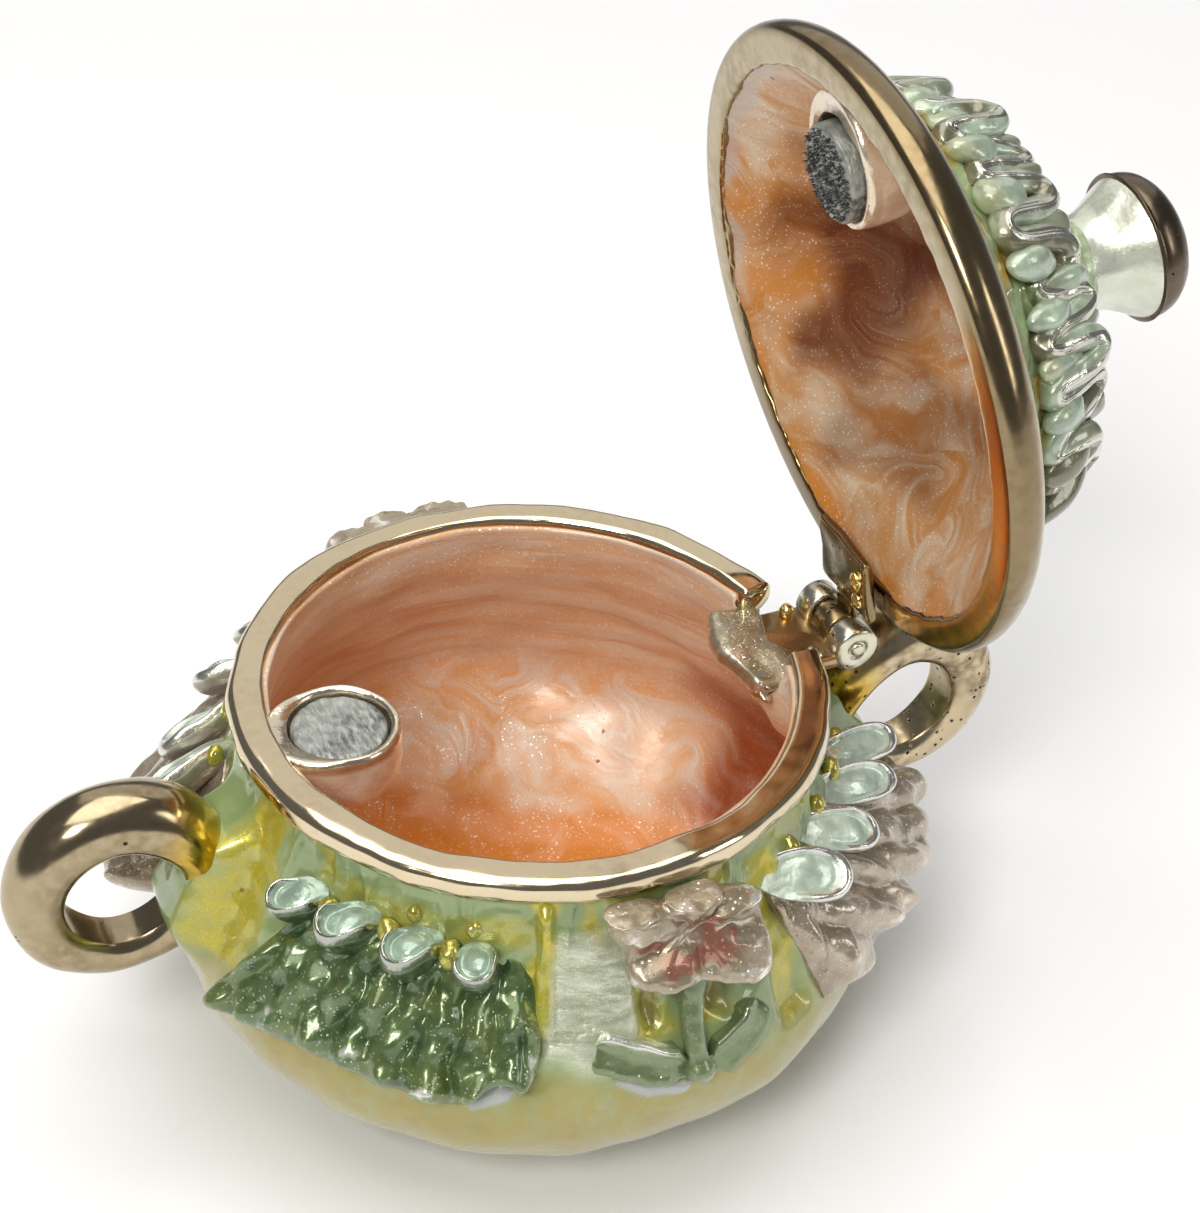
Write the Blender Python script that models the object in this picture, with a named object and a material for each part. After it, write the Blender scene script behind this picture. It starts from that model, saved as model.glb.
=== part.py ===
"""Sugar bowl trinket box: an enamelled cast box with two ring handles and a hinged lid, standing open.

Frame: origin at the centre of the flat base, +Z up, +X through the handles towards the hinge.
The lid is modelled closed, in its own turned rings, and hangs open on an empty at the hinge axis.
"""
import math

import bmesh
import bpy
import numpy as np
from mathutils import Matrix, Vector

MM = 0.001                  # pieces are worked in millimetres and scaled to metres when finished

# Driving dimensions, in millimetres and degrees
RIM_HEIGHT = 28.0           # top face of the bowl's rim
RIM_RADIUS = 19.5
RIM_INNER_RADIUS = 17.2
BELLY_RADIUS = 23.9
BELLY_HEIGHT = 11.8
BASE_RADIUS = 11.5
WALL = 2.2
BURY = 1.2                  # how deep a motif is rooted in the wall
LID_RADIUS = 20.5
LID_INNER_RADIUS = 18.0
LID_GAP = 0.3               # between the two rims when the lid is shut
KNOB_TIP = 24.0             # above the lid's face
KNOB_RADIUS = 4.8
HINGE_X = 22.4
HINGE_DROP = 1.6            # hinge axis below the bowl's rim face
OPEN_ANGLE = 80.0
HANDLE_X = 27.8             # centre of each ring handle
HANDLE_HEIGHT = 18.85
HANDLE_RING_RADIUS = 5.4
HANDLE_TUBE_RADIUS = 2.1
KNUCKLE_RADIUS = 1.3
KNUCKLE_BORE_RADIUS = 0.8
PIN_RADIUS = 0.5
HINGE_WIDTH = 6.4
MAGNET_X = -13.06
MAGNET_RADIUS = 3.1
MAGNET_THICKNESS = 1.6
MAGNET_DROP = 0.6           # face of the bowl's magnet below the rim
MAGNET_PROUD = 0.5          # how far the lid's magnet stands out of its socket
SOCKET_RADIUS = 3.9
FIT_GAP = 0.3               # clearance between neighbouring pieces

BODY_STEPS = 48             # points round the bowl's outer rings, half as many inside
LID_STEPS = 42


def smooth_line(points, count):
    """Catmull-Rom curve through (radius, height) points, read at even steps of its parameter."""
    pts = np.array(points, float)
    ends = np.vstack([2 * pts[0] - pts[1], pts, 2 * pts[-1] - pts[-2]])
    place = np.linspace(0, len(pts) - 1, count)
    index = np.minimum(place.astype(int), len(pts) - 2)
    t = (place - index)[:, None]
    a, b, c, d = (ends[index + k] for k in range(4))
    square, cube = 2 * a - 5 * b + 4 * c - d, 3 * b - a - 3 * c + d
    return 0.5 * (2 * b + (c - a) * t + square * t ** 2 + cube * t ** 3)


# Motifs of the bowl: each repeats on the far side, half a turn round. Angles and heights are on the
# belly, widths and thicknesses in millimetres
DARK_FAN = dict(centre=224, half=25, top=22.8, bottom=14.0, thick=1.7, pleat=0.5, pleats=6)
PEARL_FAN = dict(centre=320, half=24, top=22.4, bottom=13.6, thick=4.2, pleat=0.6, pleats=6)
DARK_LOBES = dict(centre=225, spacing=10.3, count=5, height=21.6, size=(2.0, 2.6, 2.1), climb=-0.1)
MINT_LOBES = dict(centre=316, spacing=11.5, count=4, height=22.0, size=(2.3, 3.0, 3.4), climb=0.0)
FLOWER = dict(centre=276, height=22.0, lift=1.9, thick=1.1, heart=1.9,
              petals=((8, 2.9, 1.6), (68, 3.4, 2.0), (137, 3.7, 2.5), (226, 3.4, 2.4), (296, 3.2, 1.8)))
STEM = dict(centre=273, top=19.6, bottom=14.2, radius=0.95)
LEAVES = (dict(centre=264.8, height=16.0, size=(3.6, 1.0, 1.4), tilt=-10),
          dict(centre=282.0, height=16.4, size=(3.0, 1.1, 1.5), tilt=24))

# Frill of the lid: a serpentine tube round the dome
FRILL = dict(lobes=13, start=0.03, radius=11.2, height=9.6, swing=1.6, tube=1.7, steps_per_lobe=6)

OUTER_LINE = [(12.6, 0.6), (18.6, 4.2), (22.8, 8.2), (BELLY_RADIUS, BELLY_HEIGHT), (22.6, 15.8),
              (20.7, 19.4), (19.2, 23.4), (18.8, 25.8)]


def belly_point(angle, height, out):
    """Point at a height on the bowl's outer surface, moved straight outwards."""
    line = smooth_line(OUTER_LINE, 60)
    radius = float(np.interp(height, line[:, 1], line[:, 0])) + out
    turn = math.radians(angle)
    return Vector((radius * math.cos(turn), radius * math.sin(turn), height))


def belly_frame(angle, height, out=0.0):
    """Frame on the outer surface: X along the surface to the right, Y up it, Z outwards."""
    here = belly_point(angle, height, out)
    up = (belly_point(angle, height + 0.5, out) - belly_point(angle, height - 0.5, out)).normalized()
    right = Vector((-math.sin(math.radians(angle)), math.cos(math.radians(angle)), 0))
    frame = Matrix((right, up, right.cross(up))).transposed().to_4x4()
    return Matrix.Translation(here) @ frame


def pebble(frame, size, tilt=0.0):
    """Rounded lump with three half-sizes, set in a surface frame and rooted a little below it."""
    bm = bmesh.new()
    bmesh.ops.create_uvsphere(bm, u_segments=8, v_segments=4, radius=1)
    bmesh.ops.scale(bm, verts=bm.verts, vec=size)
    place = frame @ Matrix.Rotation(math.radians(tilt), 4, "Z")
    bmesh.ops.transform(bm, verts=bm.verts, matrix=place)
    return finish_mesh("pebble", bm)


def pleated_fan(fan, turn):
    """Pleated skirt, thicker towards its scalloped lower edge, with a plain back inside the wall."""
    across_steps, down_steps = 2 * fan["pleats"] + 1, 4
    bm = bmesh.new()
    columns = []
    for i in range(across_steps):
        across = 2 * i / (across_steps - 1) - 1
        ridge = -1 if i % 2 else 1
        angle = fan["centre"] + turn + across * fan["half"]
        bottom = fan["bottom"] + 1.2 * across ** 2 - 0.4 * ridge
        column = []
        for j in range(down_steps):
            along = j / (down_steps - 1)
            height = fan["top"] + (bottom - fan["top"]) * along
            out = fan["thick"] * (0.35 + 0.65 * along) + fan["pleat"] * ridge
            column.append(belly_point(angle, height, out * max(1 - across ** 4, 0.25)))
        column += [belly_point(angle, bottom, -BURY), belly_point(angle, fan["top"], -BURY)]
        columns.append([bm.verts.new(point) for point in column])
    for left, right in zip(columns, columns[1:]):
        bridge(bm, left, right)
    bm.faces.new(columns[0])
    bm.faces.new(columns[-1])
    bmesh.ops.recalc_face_normals(bm, faces=bm.faces)
    return finish_mesh("fan", bm)


def ruffle_lobes(row, turn):
    """Row of rounded ruffle lobes along the top of a fan."""
    lobes = []
    for k in range(row["count"]):
        step = k - (row["count"] - 1) / 2
        angle = row["centre"] + turn + step * row["spacing"]
        height = row["height"] + row["climb"] * step
        lobes.append(pebble(belly_frame(angle, height, row["size"][2] - BURY), row["size"]))
    return lobes


def flower_on_stem(turn):
    """Five petals about a centre, a stem below and a leaf on each side."""
    pieces = []
    frame = belly_frame(FLOWER["centre"] + turn, FLOWER["height"], FLOWER["lift"])
    for lean, out, half_width in FLOWER["petals"]:
        spread = Matrix.Rotation(math.radians(lean), 4, "Z") @ Matrix.Translation((0, out, 0))
        pieces.append(pebble(frame @ spread, (half_width, out - 0.6, FLOWER["thick"])))
    heart = FLOWER["heart"]
    middle_frame = frame @ Matrix.Translation((0, 0, heart - FLOWER["lift"] - BURY))
    pieces.append(pebble(middle_frame, (heart, heart, heart), 11.0))
    middle = (STEM["top"] + STEM["bottom"]) / 2
    long_half = (STEM["top"] - STEM["bottom"]) / 2
    stem_frame = belly_frame(STEM["centre"] + turn, middle, 0.5)
    pieces.append(pebble(stem_frame, (STEM["radius"], long_half, 1.5 * STEM["radius"])))
    for leaf in LEAVES:
        leaf_frame = belly_frame(leaf["centre"] + turn, leaf["height"], 0.3)
        pieces.append(pebble(leaf_frame, leaf["size"], leaf["tilt"]))
    return pieces


def serpentine_frill(face):
    """Closed tube that winds up and down round the lid's dome."""
    steps, around = FRILL["lobes"] * FRILL["steps_per_lobe"], 5
    bm = bmesh.new()
    loops = []
    for i in range(steps):
        turn = FRILL["start"] + 2 * math.pi * i / steps
        wave = math.sin((turn - FRILL["start"]) * FRILL["lobes"])
        radius = FRILL["radius"] - 0.75 * FRILL["swing"] * wave
        height = face + FRILL["height"] + 0.9 * FRILL["swing"] * wave
        loop = []
        for k in range(around):
            roll = 2 * math.pi * k / around
            out = radius + FRILL["tube"] * math.cos(roll)
            tall = height + FRILL["tube"] * math.sin(roll)
            loop.append(bm.verts.new(Vector((out * math.cos(turn), out * math.sin(turn), tall))))
        loops.append(loop)
    for low, high in zip(loops, loops[1:] + loops[:1]):
        bridge(bm, low, high)
    bmesh.ops.recalc_face_normals(bm, faces=bm.faces)
    return finish_mesh("frill", bm)


def ring_points(radius, height, steps):
    """One ring of a turned body."""
    turn = np.arange(steps) * 2 * math.pi / steps
    return np.stack([radius * np.cos(turn), radius * np.sin(turn), np.full(steps, height)], axis=1)


def bridge(bm, low, high):
    """Faces between two rings, whose counts may differ by a whole factor."""
    few, many = (low, high) if len(low) <= len(high) else (high, low)
    step = len(many) // len(few)
    for i, vert in enumerate(few):
        following = few[(i + 1) % len(few)]
        for k in range(step):
            a, b = many[i * step + k], many[(i * step + k + 1) % len(many)]
            if step == 1:
                bm.faces.new((vert, following, b, a))
            else:
                bm.faces.new((vert, b, a))
        if step > 1:
            bm.faces.new((vert, following, many[((i + 1) * step) % len(many)]))


def turned_body(name, rings):
    """Closed body from a run of rings, capped flat at both ends of the run."""
    bm = bmesh.new()
    loops = [[bm.verts.new(p) for p in ring] for ring in rings]
    for low, high in zip(loops, loops[1:]):
        bridge(bm, low, high)
    bm.faces.new(loops[0])
    bm.faces.new(loops[-1])
    bmesh.ops.recalc_face_normals(bm, faces=bm.faces)
    return finish_mesh(name, bm)


def finish_mesh(name, bm):
    mesh = bpy.data.meshes.new(name)
    bm.to_mesh(mesh)
    bm.free()
    obj = bpy.data.objects.new(name, mesh)
    bpy.context.scene.collection.objects.link(obj)
    return obj


def cylinder(name, radius, depth, centre, axis="Z", steps=20):
    """Solid round bar about an axis, centred on a point."""
    bm = bmesh.new()
    bmesh.ops.create_cone(bm, cap_ends=True, segments=steps, radius1=radius, radius2=radius,
                          depth=depth)
    if axis == "Y":
        bmesh.ops.rotate(bm, verts=bm.verts, matrix=Matrix.Rotation(math.pi / 2, 3, "X"))
    bmesh.ops.translate(bm, verts=bm.verts, vec=Vector(centre))
    return finish_mesh(name, bm)


def block(name, low, high):
    """Box between two corners."""
    bm = bmesh.new()
    bmesh.ops.create_cube(bm, size=1)
    size = Vector(high) - Vector(low)
    bmesh.ops.scale(bm, verts=bm.verts, vec=size)
    bmesh.ops.translate(bm, verts=bm.verts, vec=(Vector(high) + Vector(low)) / 2)
    return finish_mesh(name, bm)


def combine(target, tools, operation):
    """Boolean with one or more tool objects at once, applied, in triangles; the tools are removed."""
    group = bpy.data.collections.new("tools")
    for tool in tools:
        group.objects.link(tool)
    modifier = target.modifiers.new(operation.lower(), "BOOLEAN")
    modifier.operation = operation
    modifier.solver = "EXACT"
    modifier.operand_type = "COLLECTION"
    modifier.collection = group
    graph = bpy.context.evaluated_depsgraph_get()
    bm = bmesh.new()
    bm.from_object(target, graph)
    bmesh.ops.triangulate(bm, faces=bm.faces)
    target.modifiers.clear()
    bm.to_mesh(target.data)
    bm.free()
    for tool in tools:
        bpy.data.objects.remove(tool)
    bpy.data.collections.remove(group)


def ring_handle(side):
    """Ring handle in the XZ plane, its tube flattened on the inside of the ring."""
    bm = bmesh.new()
    steps, around = 18, 8
    loops = []
    for i in range(steps):
        turn = 2 * math.pi * i / steps
        loop = []
        for k in range(around):
            roll = 2 * math.pi * k / around
            out = max(HANDLE_TUBE_RADIUS * math.cos(roll), -0.8 * HANDLE_TUBE_RADIUS)
            radius = HANDLE_RING_RADIUS + out
            y = 1.05 * HANDLE_TUBE_RADIUS * math.sin(roll)
            x = side * HANDLE_X + radius * math.cos(turn)
            loop.append(bm.verts.new(Vector((x, y, HANDLE_HEIGHT + radius * math.sin(turn)))))
        loops.append(loop)
    for low, high in zip(loops, loops[1:] + loops[:1]):
        bridge(bm, low, high)
    bmesh.ops.recalc_face_normals(bm, faces=bm.faces)
    return finish_mesh("ring_handle", bm)


def handle_root(side):
    """Short bar that carries the foot of a ring handle into the belly."""
    bar = cylinder("root", 1.5, 6.0, (0, 0, 0), axis="Y", steps=8)
    bar.data.transform(Matrix.Rotation(math.pi / 2, 4, "Z"))
    bar.data.transform(Matrix.Rotation(math.radians(side * 14), 4, "Y"))
    bar.data.transform(Matrix.Translation((side * 25.4, 0, HANDLE_HEIGHT - HANDLE_RING_RADIUS - 0.3)))
    return bar


def magnet_socket(low, high, floor, opening):
    """Round socket with the neck that joins it to the rim, bored from its floor to beyond its opening."""
    socket = cylinder("socket", SOCKET_RADIUS, high - low, (MAGNET_X, 0, (low + high) / 2))
    neck = block("neck", (MAGNET_X - 4.4, -3.6, low + 0.05), (MAGNET_X, 3.6, high - 0.05))
    centre = (MAGNET_X, 0, (floor + opening) / 2)
    pocket = cylinder("pocket", MAGNET_RADIUS + FIT_GAP, abs(opening - floor), centre)
    combine(socket, [neck], "UNION")
    combine(socket, [pocket], "DIFFERENCE")
    return socket


def make_bowl():
    """Lower casting: hollow turned body with a hinge notch, then its handles, socket and motifs."""
    outer = smooth_line(OUTER_LINE, 10)
    rim = [(RIM_RADIUS - 0.2, RIM_HEIGHT - 1.7), (RIM_RADIUS, RIM_HEIGHT - 1.2),
           (RIM_RADIUS, RIM_HEIGHT - 0.4), (RIM_RADIUS - 0.4, RIM_HEIGHT)]
    lip = [(RIM_INNER_RADIUS + 0.4, RIM_HEIGHT), (RIM_INNER_RADIUS, RIM_HEIGHT - 0.4)]
    cavity = smooth_line([(RIM_INNER_RADIUS, 26.2), (17.2, 24.0), (18.6, 19.6),
                          (BELLY_RADIUS - WALL, BELLY_HEIGHT + 0.2), (20.2, 8.0), (15.8, 4.6),
                          (9.0, WALL + 0.2)], 9)
    rings = [ring_points(BASE_RADIUS, 0, BODY_STEPS // 2)]
    rings += [ring_points(r, z, BODY_STEPS) for r, z in [*outer, *rim]]
    rings += [ring_points(r, z, BODY_STEPS // 2) for r, z in [*lip, *cavity]]
    bowl = turned_body("bowl", rings)
    half = HINGE_WIDTH / 2 + FIT_GAP
    notch = block("notch", (14.0, -half, RIM_HEIGHT - 3.3), (25.4, half, RIM_HEIGHT + 2))
    combine(bowl, [notch], "DIFFERENCE")

    floor = RIM_HEIGHT - MAGNET_DROP - MAGNET_THICKNESS - FIT_GAP
    additions = [magnet_socket(RIM_HEIGHT - 4.9, RIM_HEIGHT - 0.2, floor, RIM_HEIGHT + 1)]
    for side in (-1, 1):
        additions += [ring_handle(side), handle_root(side)]
    for turn in (0, 180):
        additions += [pleated_fan(DARK_FAN, turn), pleated_fan(PEARL_FAN, turn)]
        additions += ruffle_lobes(DARK_LOBES, turn) + ruffle_lobes(MINT_LOBES, turn)
        additions += flower_on_stem(turn)
    combine(bowl, additions, "UNION")
    return bowl


def make_lid():
    """Upper casting, closed: gold rim, hollow dome, knob, then its frill and socket."""
    face = RIM_HEIGHT + LID_GAP
    rim = [(LID_RADIUS - 0.3, 0), (LID_RADIUS, 0.4), (LID_RADIUS - 0.2, 1.5), (LID_RADIUS - 1.2, 2.5)]
    shoulder = smooth_line([(17.4, 3.3), (15.4, 4.6), (13.6, 6.4), (11.6, 9.0), (8.6, 11.8), (5.6, 13.8),
                            (3.8, 15.4)], 8)
    knob = smooth_line([(3.2, 16.8), (4.0, 18.8), (KNOB_RADIUS, 20.8), (4.0, 22.7), (1.4, KNOB_TIP)], 8)
    inside = smooth_line([(2.4, 11.4), (6.0, 10.4), (9.2, 8.4), (11.8, 5.8), (14.4, 3.0), (16.8, 1.2),
                          (LID_INNER_RADIUS, 0)], 8)
    rings = [ring_points(r, face + h, LID_STEPS // 2) for r, h in inside]
    rings += [ring_points(r, face + h, LID_STEPS) for r, h in [*rim, *shoulder[:-1]]]
    rings += [ring_points(r, face + h, LID_STEPS // 3) for r, h in [shoulder[-1], *knob]]
    lid = turned_body("lid", rings)
    floor = face + MAGNET_THICKNESS - MAGNET_PROUD + FIT_GAP
    socket = magnet_socket(face + 0.05, face + 2.9, floor, face - 1)
    combine(lid, [serpentine_frill(face), socket], "UNION")
    return lid


def knuckle(name, y_from, y_to, axis_z):
    """Rolled knuckle with its bore, on the hinge axis."""
    centre = (HINGE_X, (y_from + y_to) / 2, axis_z)
    return cylinder(name, KNUCKLE_RADIUS, y_to - y_from, centre, axis="Y", steps=16)


def bore(axis_z):
    """Cutter for the knuckles' hole."""
    return cylinder("bore", KNUCKLE_BORE_RADIUS, 3 * HINGE_WIDTH, (HINGE_X, 0, axis_z), axis="Y", steps=10)


def solder_lump(name):
    """Rounded lump of solder that hangs inside the wall, under the bowl's hinge leaf."""
    bm = bmesh.new()
    bmesh.ops.create_uvsphere(bm, u_segments=10, v_segments=6, radius=1)
    bmesh.ops.scale(bm, verts=bm.verts, vec=Vector((1.5, 3.4, 2.6)))
    bmesh.ops.translate(bm, verts=bm.verts, vec=Vector((15.2, 0, RIM_HEIGHT - 3.8)))
    return finish_mesh(name, bm)


def make_hinge():
    """Bowl leaf with two knuckles, lid leaf with the middle one, and the pin."""
    axis_z = RIM_HEIGHT - HINGE_DROP
    third = HINGE_WIDTH / 6
    half = HINGE_WIDTH / 2
    low = axis_z - KNUCKLE_RADIUS
    bowl_leaf = block("bowl_hinge", (14.4, -half, low), (HINGE_X, half, low + 0.9))
    gap = third + FIT_GAP
    middle = block("gap", (HINGE_X - 1.7, -gap, low - 1), (HINGE_X + 3, gap, axis_z + 3))
    combine(bowl_leaf, [solder_lump("lump"), knuckle("knuckle", -half, half, axis_z)], "UNION")
    combine(bowl_leaf, [middle, bore(axis_z)], "DIFFERENCE")

    top = RIM_HEIGHT + LID_GAP - FIT_GAP
    lid_leaf = block("lid_hinge", (15.4, -half, top - 0.9), (HINGE_X - 1.9, half, top))
    tongue = block("tongue", (HINGE_X - 2.2, -third, top - 0.85), (HINGE_X, third, top - 0.35))
    combine(lid_leaf, [tongue, knuckle("knuckle", -third, third, axis_z)], "UNION")
    combine(lid_leaf, [bore(axis_z)], "DIFFERENCE")
    pin = cylinder("hinge_pin", PIN_RADIUS, HINGE_WIDTH, (HINGE_X, 0, axis_z), axis="Y", steps=12)
    return bowl_leaf, lid_leaf, pin


def make_magnets():
    top = RIM_HEIGHT - MAGNET_DROP
    half = MAGNET_THICKNESS / 2
    low = cylinder("bowl_magnet", MAGNET_RADIUS, MAGNET_THICKNESS, (MAGNET_X, 0, top - half))
    face = RIM_HEIGHT + LID_GAP - MAGNET_PROUD
    high = cylinder("lid_magnet", MAGNET_RADIUS, MAGNET_THICKNESS, (MAGNET_X, 0, face + half))
    return low, high


def material(name, colour, roughness, metallic):
    made = bpy.data.materials.new(name)
    made.use_nodes = True
    shader = made.node_tree.nodes["Principled BSDF"]
    shader.inputs["Base Color"].default_value = (*colour, 1)
    shader.inputs["Roughness"].default_value = roughness
    shader.inputs["Metallic"].default_value = metallic
    return made


def finish_piece(obj, made, parent=None):
    """Own material, smooth shading with creases, and the piece's parent."""
    obj.data.transform(Matrix.Scale(MM, 4))
    obj.data.materials.clear()
    obj.data.materials.append(made)
    obj.data.shade_smooth()
    obj.data.set_sharp_from_angle(angle=math.radians(35))
    if parent is not None:
        shift = Matrix.Translation(-parent.location)
        obj.data.transform(shift)
        obj.parent = parent


def build():
    for obj in list(bpy.data.objects):
        bpy.data.objects.remove(obj)
    axis = bpy.data.objects.new("lid_axis", None)
    bpy.context.scene.collection.objects.link(axis)
    axis.location = Vector((HINGE_X, 0, RIM_HEIGHT - HINGE_DROP)) * MM

    bowl = make_bowl()
    lid = make_lid()
    bowl_leaf, lid_leaf, pin = make_hinge()
    low_magnet, high_magnet = make_magnets()

    finish_piece(bowl, material("celadon_enamel", (0.42, 0.52, 0.30), 0.2, 0.1))
    finish_piece(bowl_leaf, material("soldered_leaf", (0.45, 0.36, 0.20), 0.35, 1.0))
    finish_piece(pin, material("pin_metal", (0.60, 0.55, 0.42), 0.3, 1.0))
    finish_piece(low_magnet, material("magnet_plating", (0.35, 0.36, 0.37), 0.5, 0.7))
    finish_piece(lid, material("mint_enamel", (0.35, 0.52, 0.40), 0.2, 0.1), axis)
    finish_piece(lid_leaf, material("gilt_leaf", (0.40, 0.30, 0.14), 0.35, 1.0), axis)
    finish_piece(high_magnet, material("filings_magnet", (0.12, 0.12, 0.13), 0.7, 0.6), axis)
    axis.rotation_euler = (0, math.radians(OPEN_ANGLE), 0)


build()
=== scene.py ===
import math

import bmesh
import bpy
import numpy as np
from mathutils import Matrix, Vector


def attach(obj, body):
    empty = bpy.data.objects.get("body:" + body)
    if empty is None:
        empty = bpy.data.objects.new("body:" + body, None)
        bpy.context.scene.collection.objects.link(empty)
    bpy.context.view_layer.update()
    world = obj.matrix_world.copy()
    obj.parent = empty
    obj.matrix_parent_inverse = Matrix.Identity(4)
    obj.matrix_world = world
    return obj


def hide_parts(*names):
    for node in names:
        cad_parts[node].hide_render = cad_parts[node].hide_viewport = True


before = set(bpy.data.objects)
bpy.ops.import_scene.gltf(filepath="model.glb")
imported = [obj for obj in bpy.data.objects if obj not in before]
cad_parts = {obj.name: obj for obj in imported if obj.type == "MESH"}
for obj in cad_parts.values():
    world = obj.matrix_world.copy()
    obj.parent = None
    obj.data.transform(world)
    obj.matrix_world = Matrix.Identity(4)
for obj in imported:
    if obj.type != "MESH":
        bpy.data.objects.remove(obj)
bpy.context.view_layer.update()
print("frame loaded:", sorted(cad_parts))

mm = 0.001    # shapes are worked in millimetres, centre of the base at zero, Z up
hinge = dict(x=22.4, z=26.4, open=80.0, width=6.4, knuckle=1.3, pin=0.5, gap=0.3)

# curves, places and meshes

def fullTurn(count):
    # angles once round, as a column
    return np.linspace(0, 2 * math.pi, count, endpoint=False)[:, None]


def xyz(x, y, z):
    # points from their three coordinates, which may have different shapes
    return np.stack(np.broadcast_arrays(x, y, z), -1)


def softLine(points, count):
    # Catmull-Rom curve through the given points, read at even lengths along itself
    pts = np.array(points, float)
    ends = np.vstack([2 * pts[0] - pts[1], pts, 2 * pts[-1] - pts[-2]])
    place = np.linspace(0, len(pts) - 1, 40 * len(pts))
    index = np.minimum(place.astype(int), len(pts) - 2)
    t = (place - index)[:, None]
    a, b, c, d = (ends[index + k] for k in range(4))
    line = 0.5 * (2 * b + (c - a) * t + (2 * a - 5 * b + 4 * c - d) * t ** 2
                  + (3 * b - a - 3 * c + d) * t ** 3)
    length = np.append(0, np.cumsum(np.linalg.norm(np.diff(line, axis=0), axis=1)))
    even = np.linspace(0, length[-1], count)
    return np.stack([np.interp(even, length, line[:, k]) for k in range(line.shape[1])], 1)


def softNoise(points, size, seed, waves=14):
    # sum of plane waves in random directions, about -1 to 1, with no seam
    rng = np.random.default_rng(seed)
    total = np.zeros(points.shape[:-1])
    for k in range(waves):
        way = rng.normal(size=3)
        way *= 2 * math.pi / size * rng.uniform(0.6, 1.5) / np.linalg.norm(way)
        total += np.sin(points @ way + rng.uniform(0, 2 * math.pi))
    return total / math.sqrt(waves)


def ease(low, high, value):
    # smooth step from 0 at low to 1 at high
    t = np.clip((value - low) / (high - low), 0, 1)
    return t * t * (3 - 2 * t)


def bump(value, middle, half, soft):
    # 1 within half of the middle, falling to 0 over the soft width
    return 1 - ease(half, half + soft, np.abs(value - middle))


def angleGap(angle, middle):
    # signed gap between two angles, in degrees
    return (angle - middle + 180) % 360 - 180


def lineFrame(line):
    # outward normals of a profile that runs downwards or inwards, and the length along it
    slope = np.gradient(line, axis=0)
    slope /= np.linalg.norm(slope, axis=1)[:, None]
    arc = np.append(0, np.cumsum(np.linalg.norm(np.diff(line, axis=0), axis=1)))
    return np.stack([-slope[:, 1], slope[:, 0]], 1), arc


def turnedPlace(line):
    # place on a turned surface from an angle in degrees, a length along the profile and a stand-off
    normals, arc = lineFrame(line)

    def place(angle, along, out):
        r = np.interp(along, arc, line[:, 0]) + out * np.interp(along, arc, normals[:, 0])
        z = np.interp(along, arc, line[:, 1]) + out * np.interp(along, arc, normals[:, 1])
        return xyz(r * np.cos(np.radians(angle)), r * np.sin(np.radians(angle)), z)
    return place, arc


def openLid(grid):
    # lid shapes are worked out shut, then swung up about the hinge's axis to where the lid rests open
    c, s = math.cos(math.radians(hinge["open"])), math.sin(math.radians(hinge["open"]))
    x, z = grid[..., 0] - hinge["x"], grid[..., 2] - hinge["z"]
    return xyz(c * x + s * z + hinge["x"], grid[..., 1], c * z - s * x + hinge["z"])


def thickSheet(middle, thick):
    # two sides of a closed strip, half the thickness each way along its normals
    n = np.cross(np.roll(middle, -1, 0) - np.roll(middle, 1, 0), np.gradient(middle, axis=1))
    n = n / np.maximum(np.linalg.norm(n, axis=-1, keepdims=True), 1e-9) * np.asarray(thick)[..., None] / 2
    return np.concatenate([middle + n, (middle - n)[:, ::-1]], 1)


def weld(mesh):
    # rings that were drawn to a point become one vertex, and nothing is left loose
    made = bmesh.new()
    made.from_mesh(mesh)
    bmesh.ops.remove_doubles(made, verts=made.verts, dist=1e-7)
    bmesh.ops.delete(made, geom=[e for e in made.edges if not e.link_faces], context="EDGES")
    made.to_mesh(mesh)
    made.free()


def gridFaces(grid, wrap, cap):
    # points of a grid with quads between neighbours, joined round its first (u) or second (v) direction,
    # and a fan of triangles on each cap
    rows, cols = grid.shape[:2]
    points = grid.reshape(-1, 3)
    index = np.arange(rows * cols).reshape(rows, cols)
    if "u" in wrap:
        index = np.vstack([index, index[:1]])
    if "v" in wrap:
        index = np.hstack([index, index[:, :1]])
    quads = np.stack([index[:-1, :-1], index[1:, :-1], index[1:, 1:], index[:-1, 1:]], -1).reshape(-1, 4)
    rings = [(index[0, :], 1), (index[-1, :], -1)] if "u" in cap else []
    rings += [(index[:, 0], -1), (index[:, -1], 1)] if "v" in cap else []
    tris = np.zeros((0, 3), int)
    for ring, side in rings:
        points = np.vstack([points, points[ring[:-1]].mean(0)])
        fan = np.stack([np.full(len(ring) - 1, len(points) - 1), ring[:-1], ring[1:]], 1)
        tris = np.vstack([tris, fan if side > 0 else fan[:, ::-1]])
    soup = np.vstack([quads[:, [0, 1, 2]], quads[:, [0, 2, 3]], tris])
    corner = points[soup] - points.mean(0)
    if np.einsum("ij,ij->i", corner[:, 0], np.cross(corner[:, 1], corner[:, 2])).sum() < 0:
        quads, tris = quads[:, ::-1], tris[:, ::-1]
    return points, quads, tris


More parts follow.
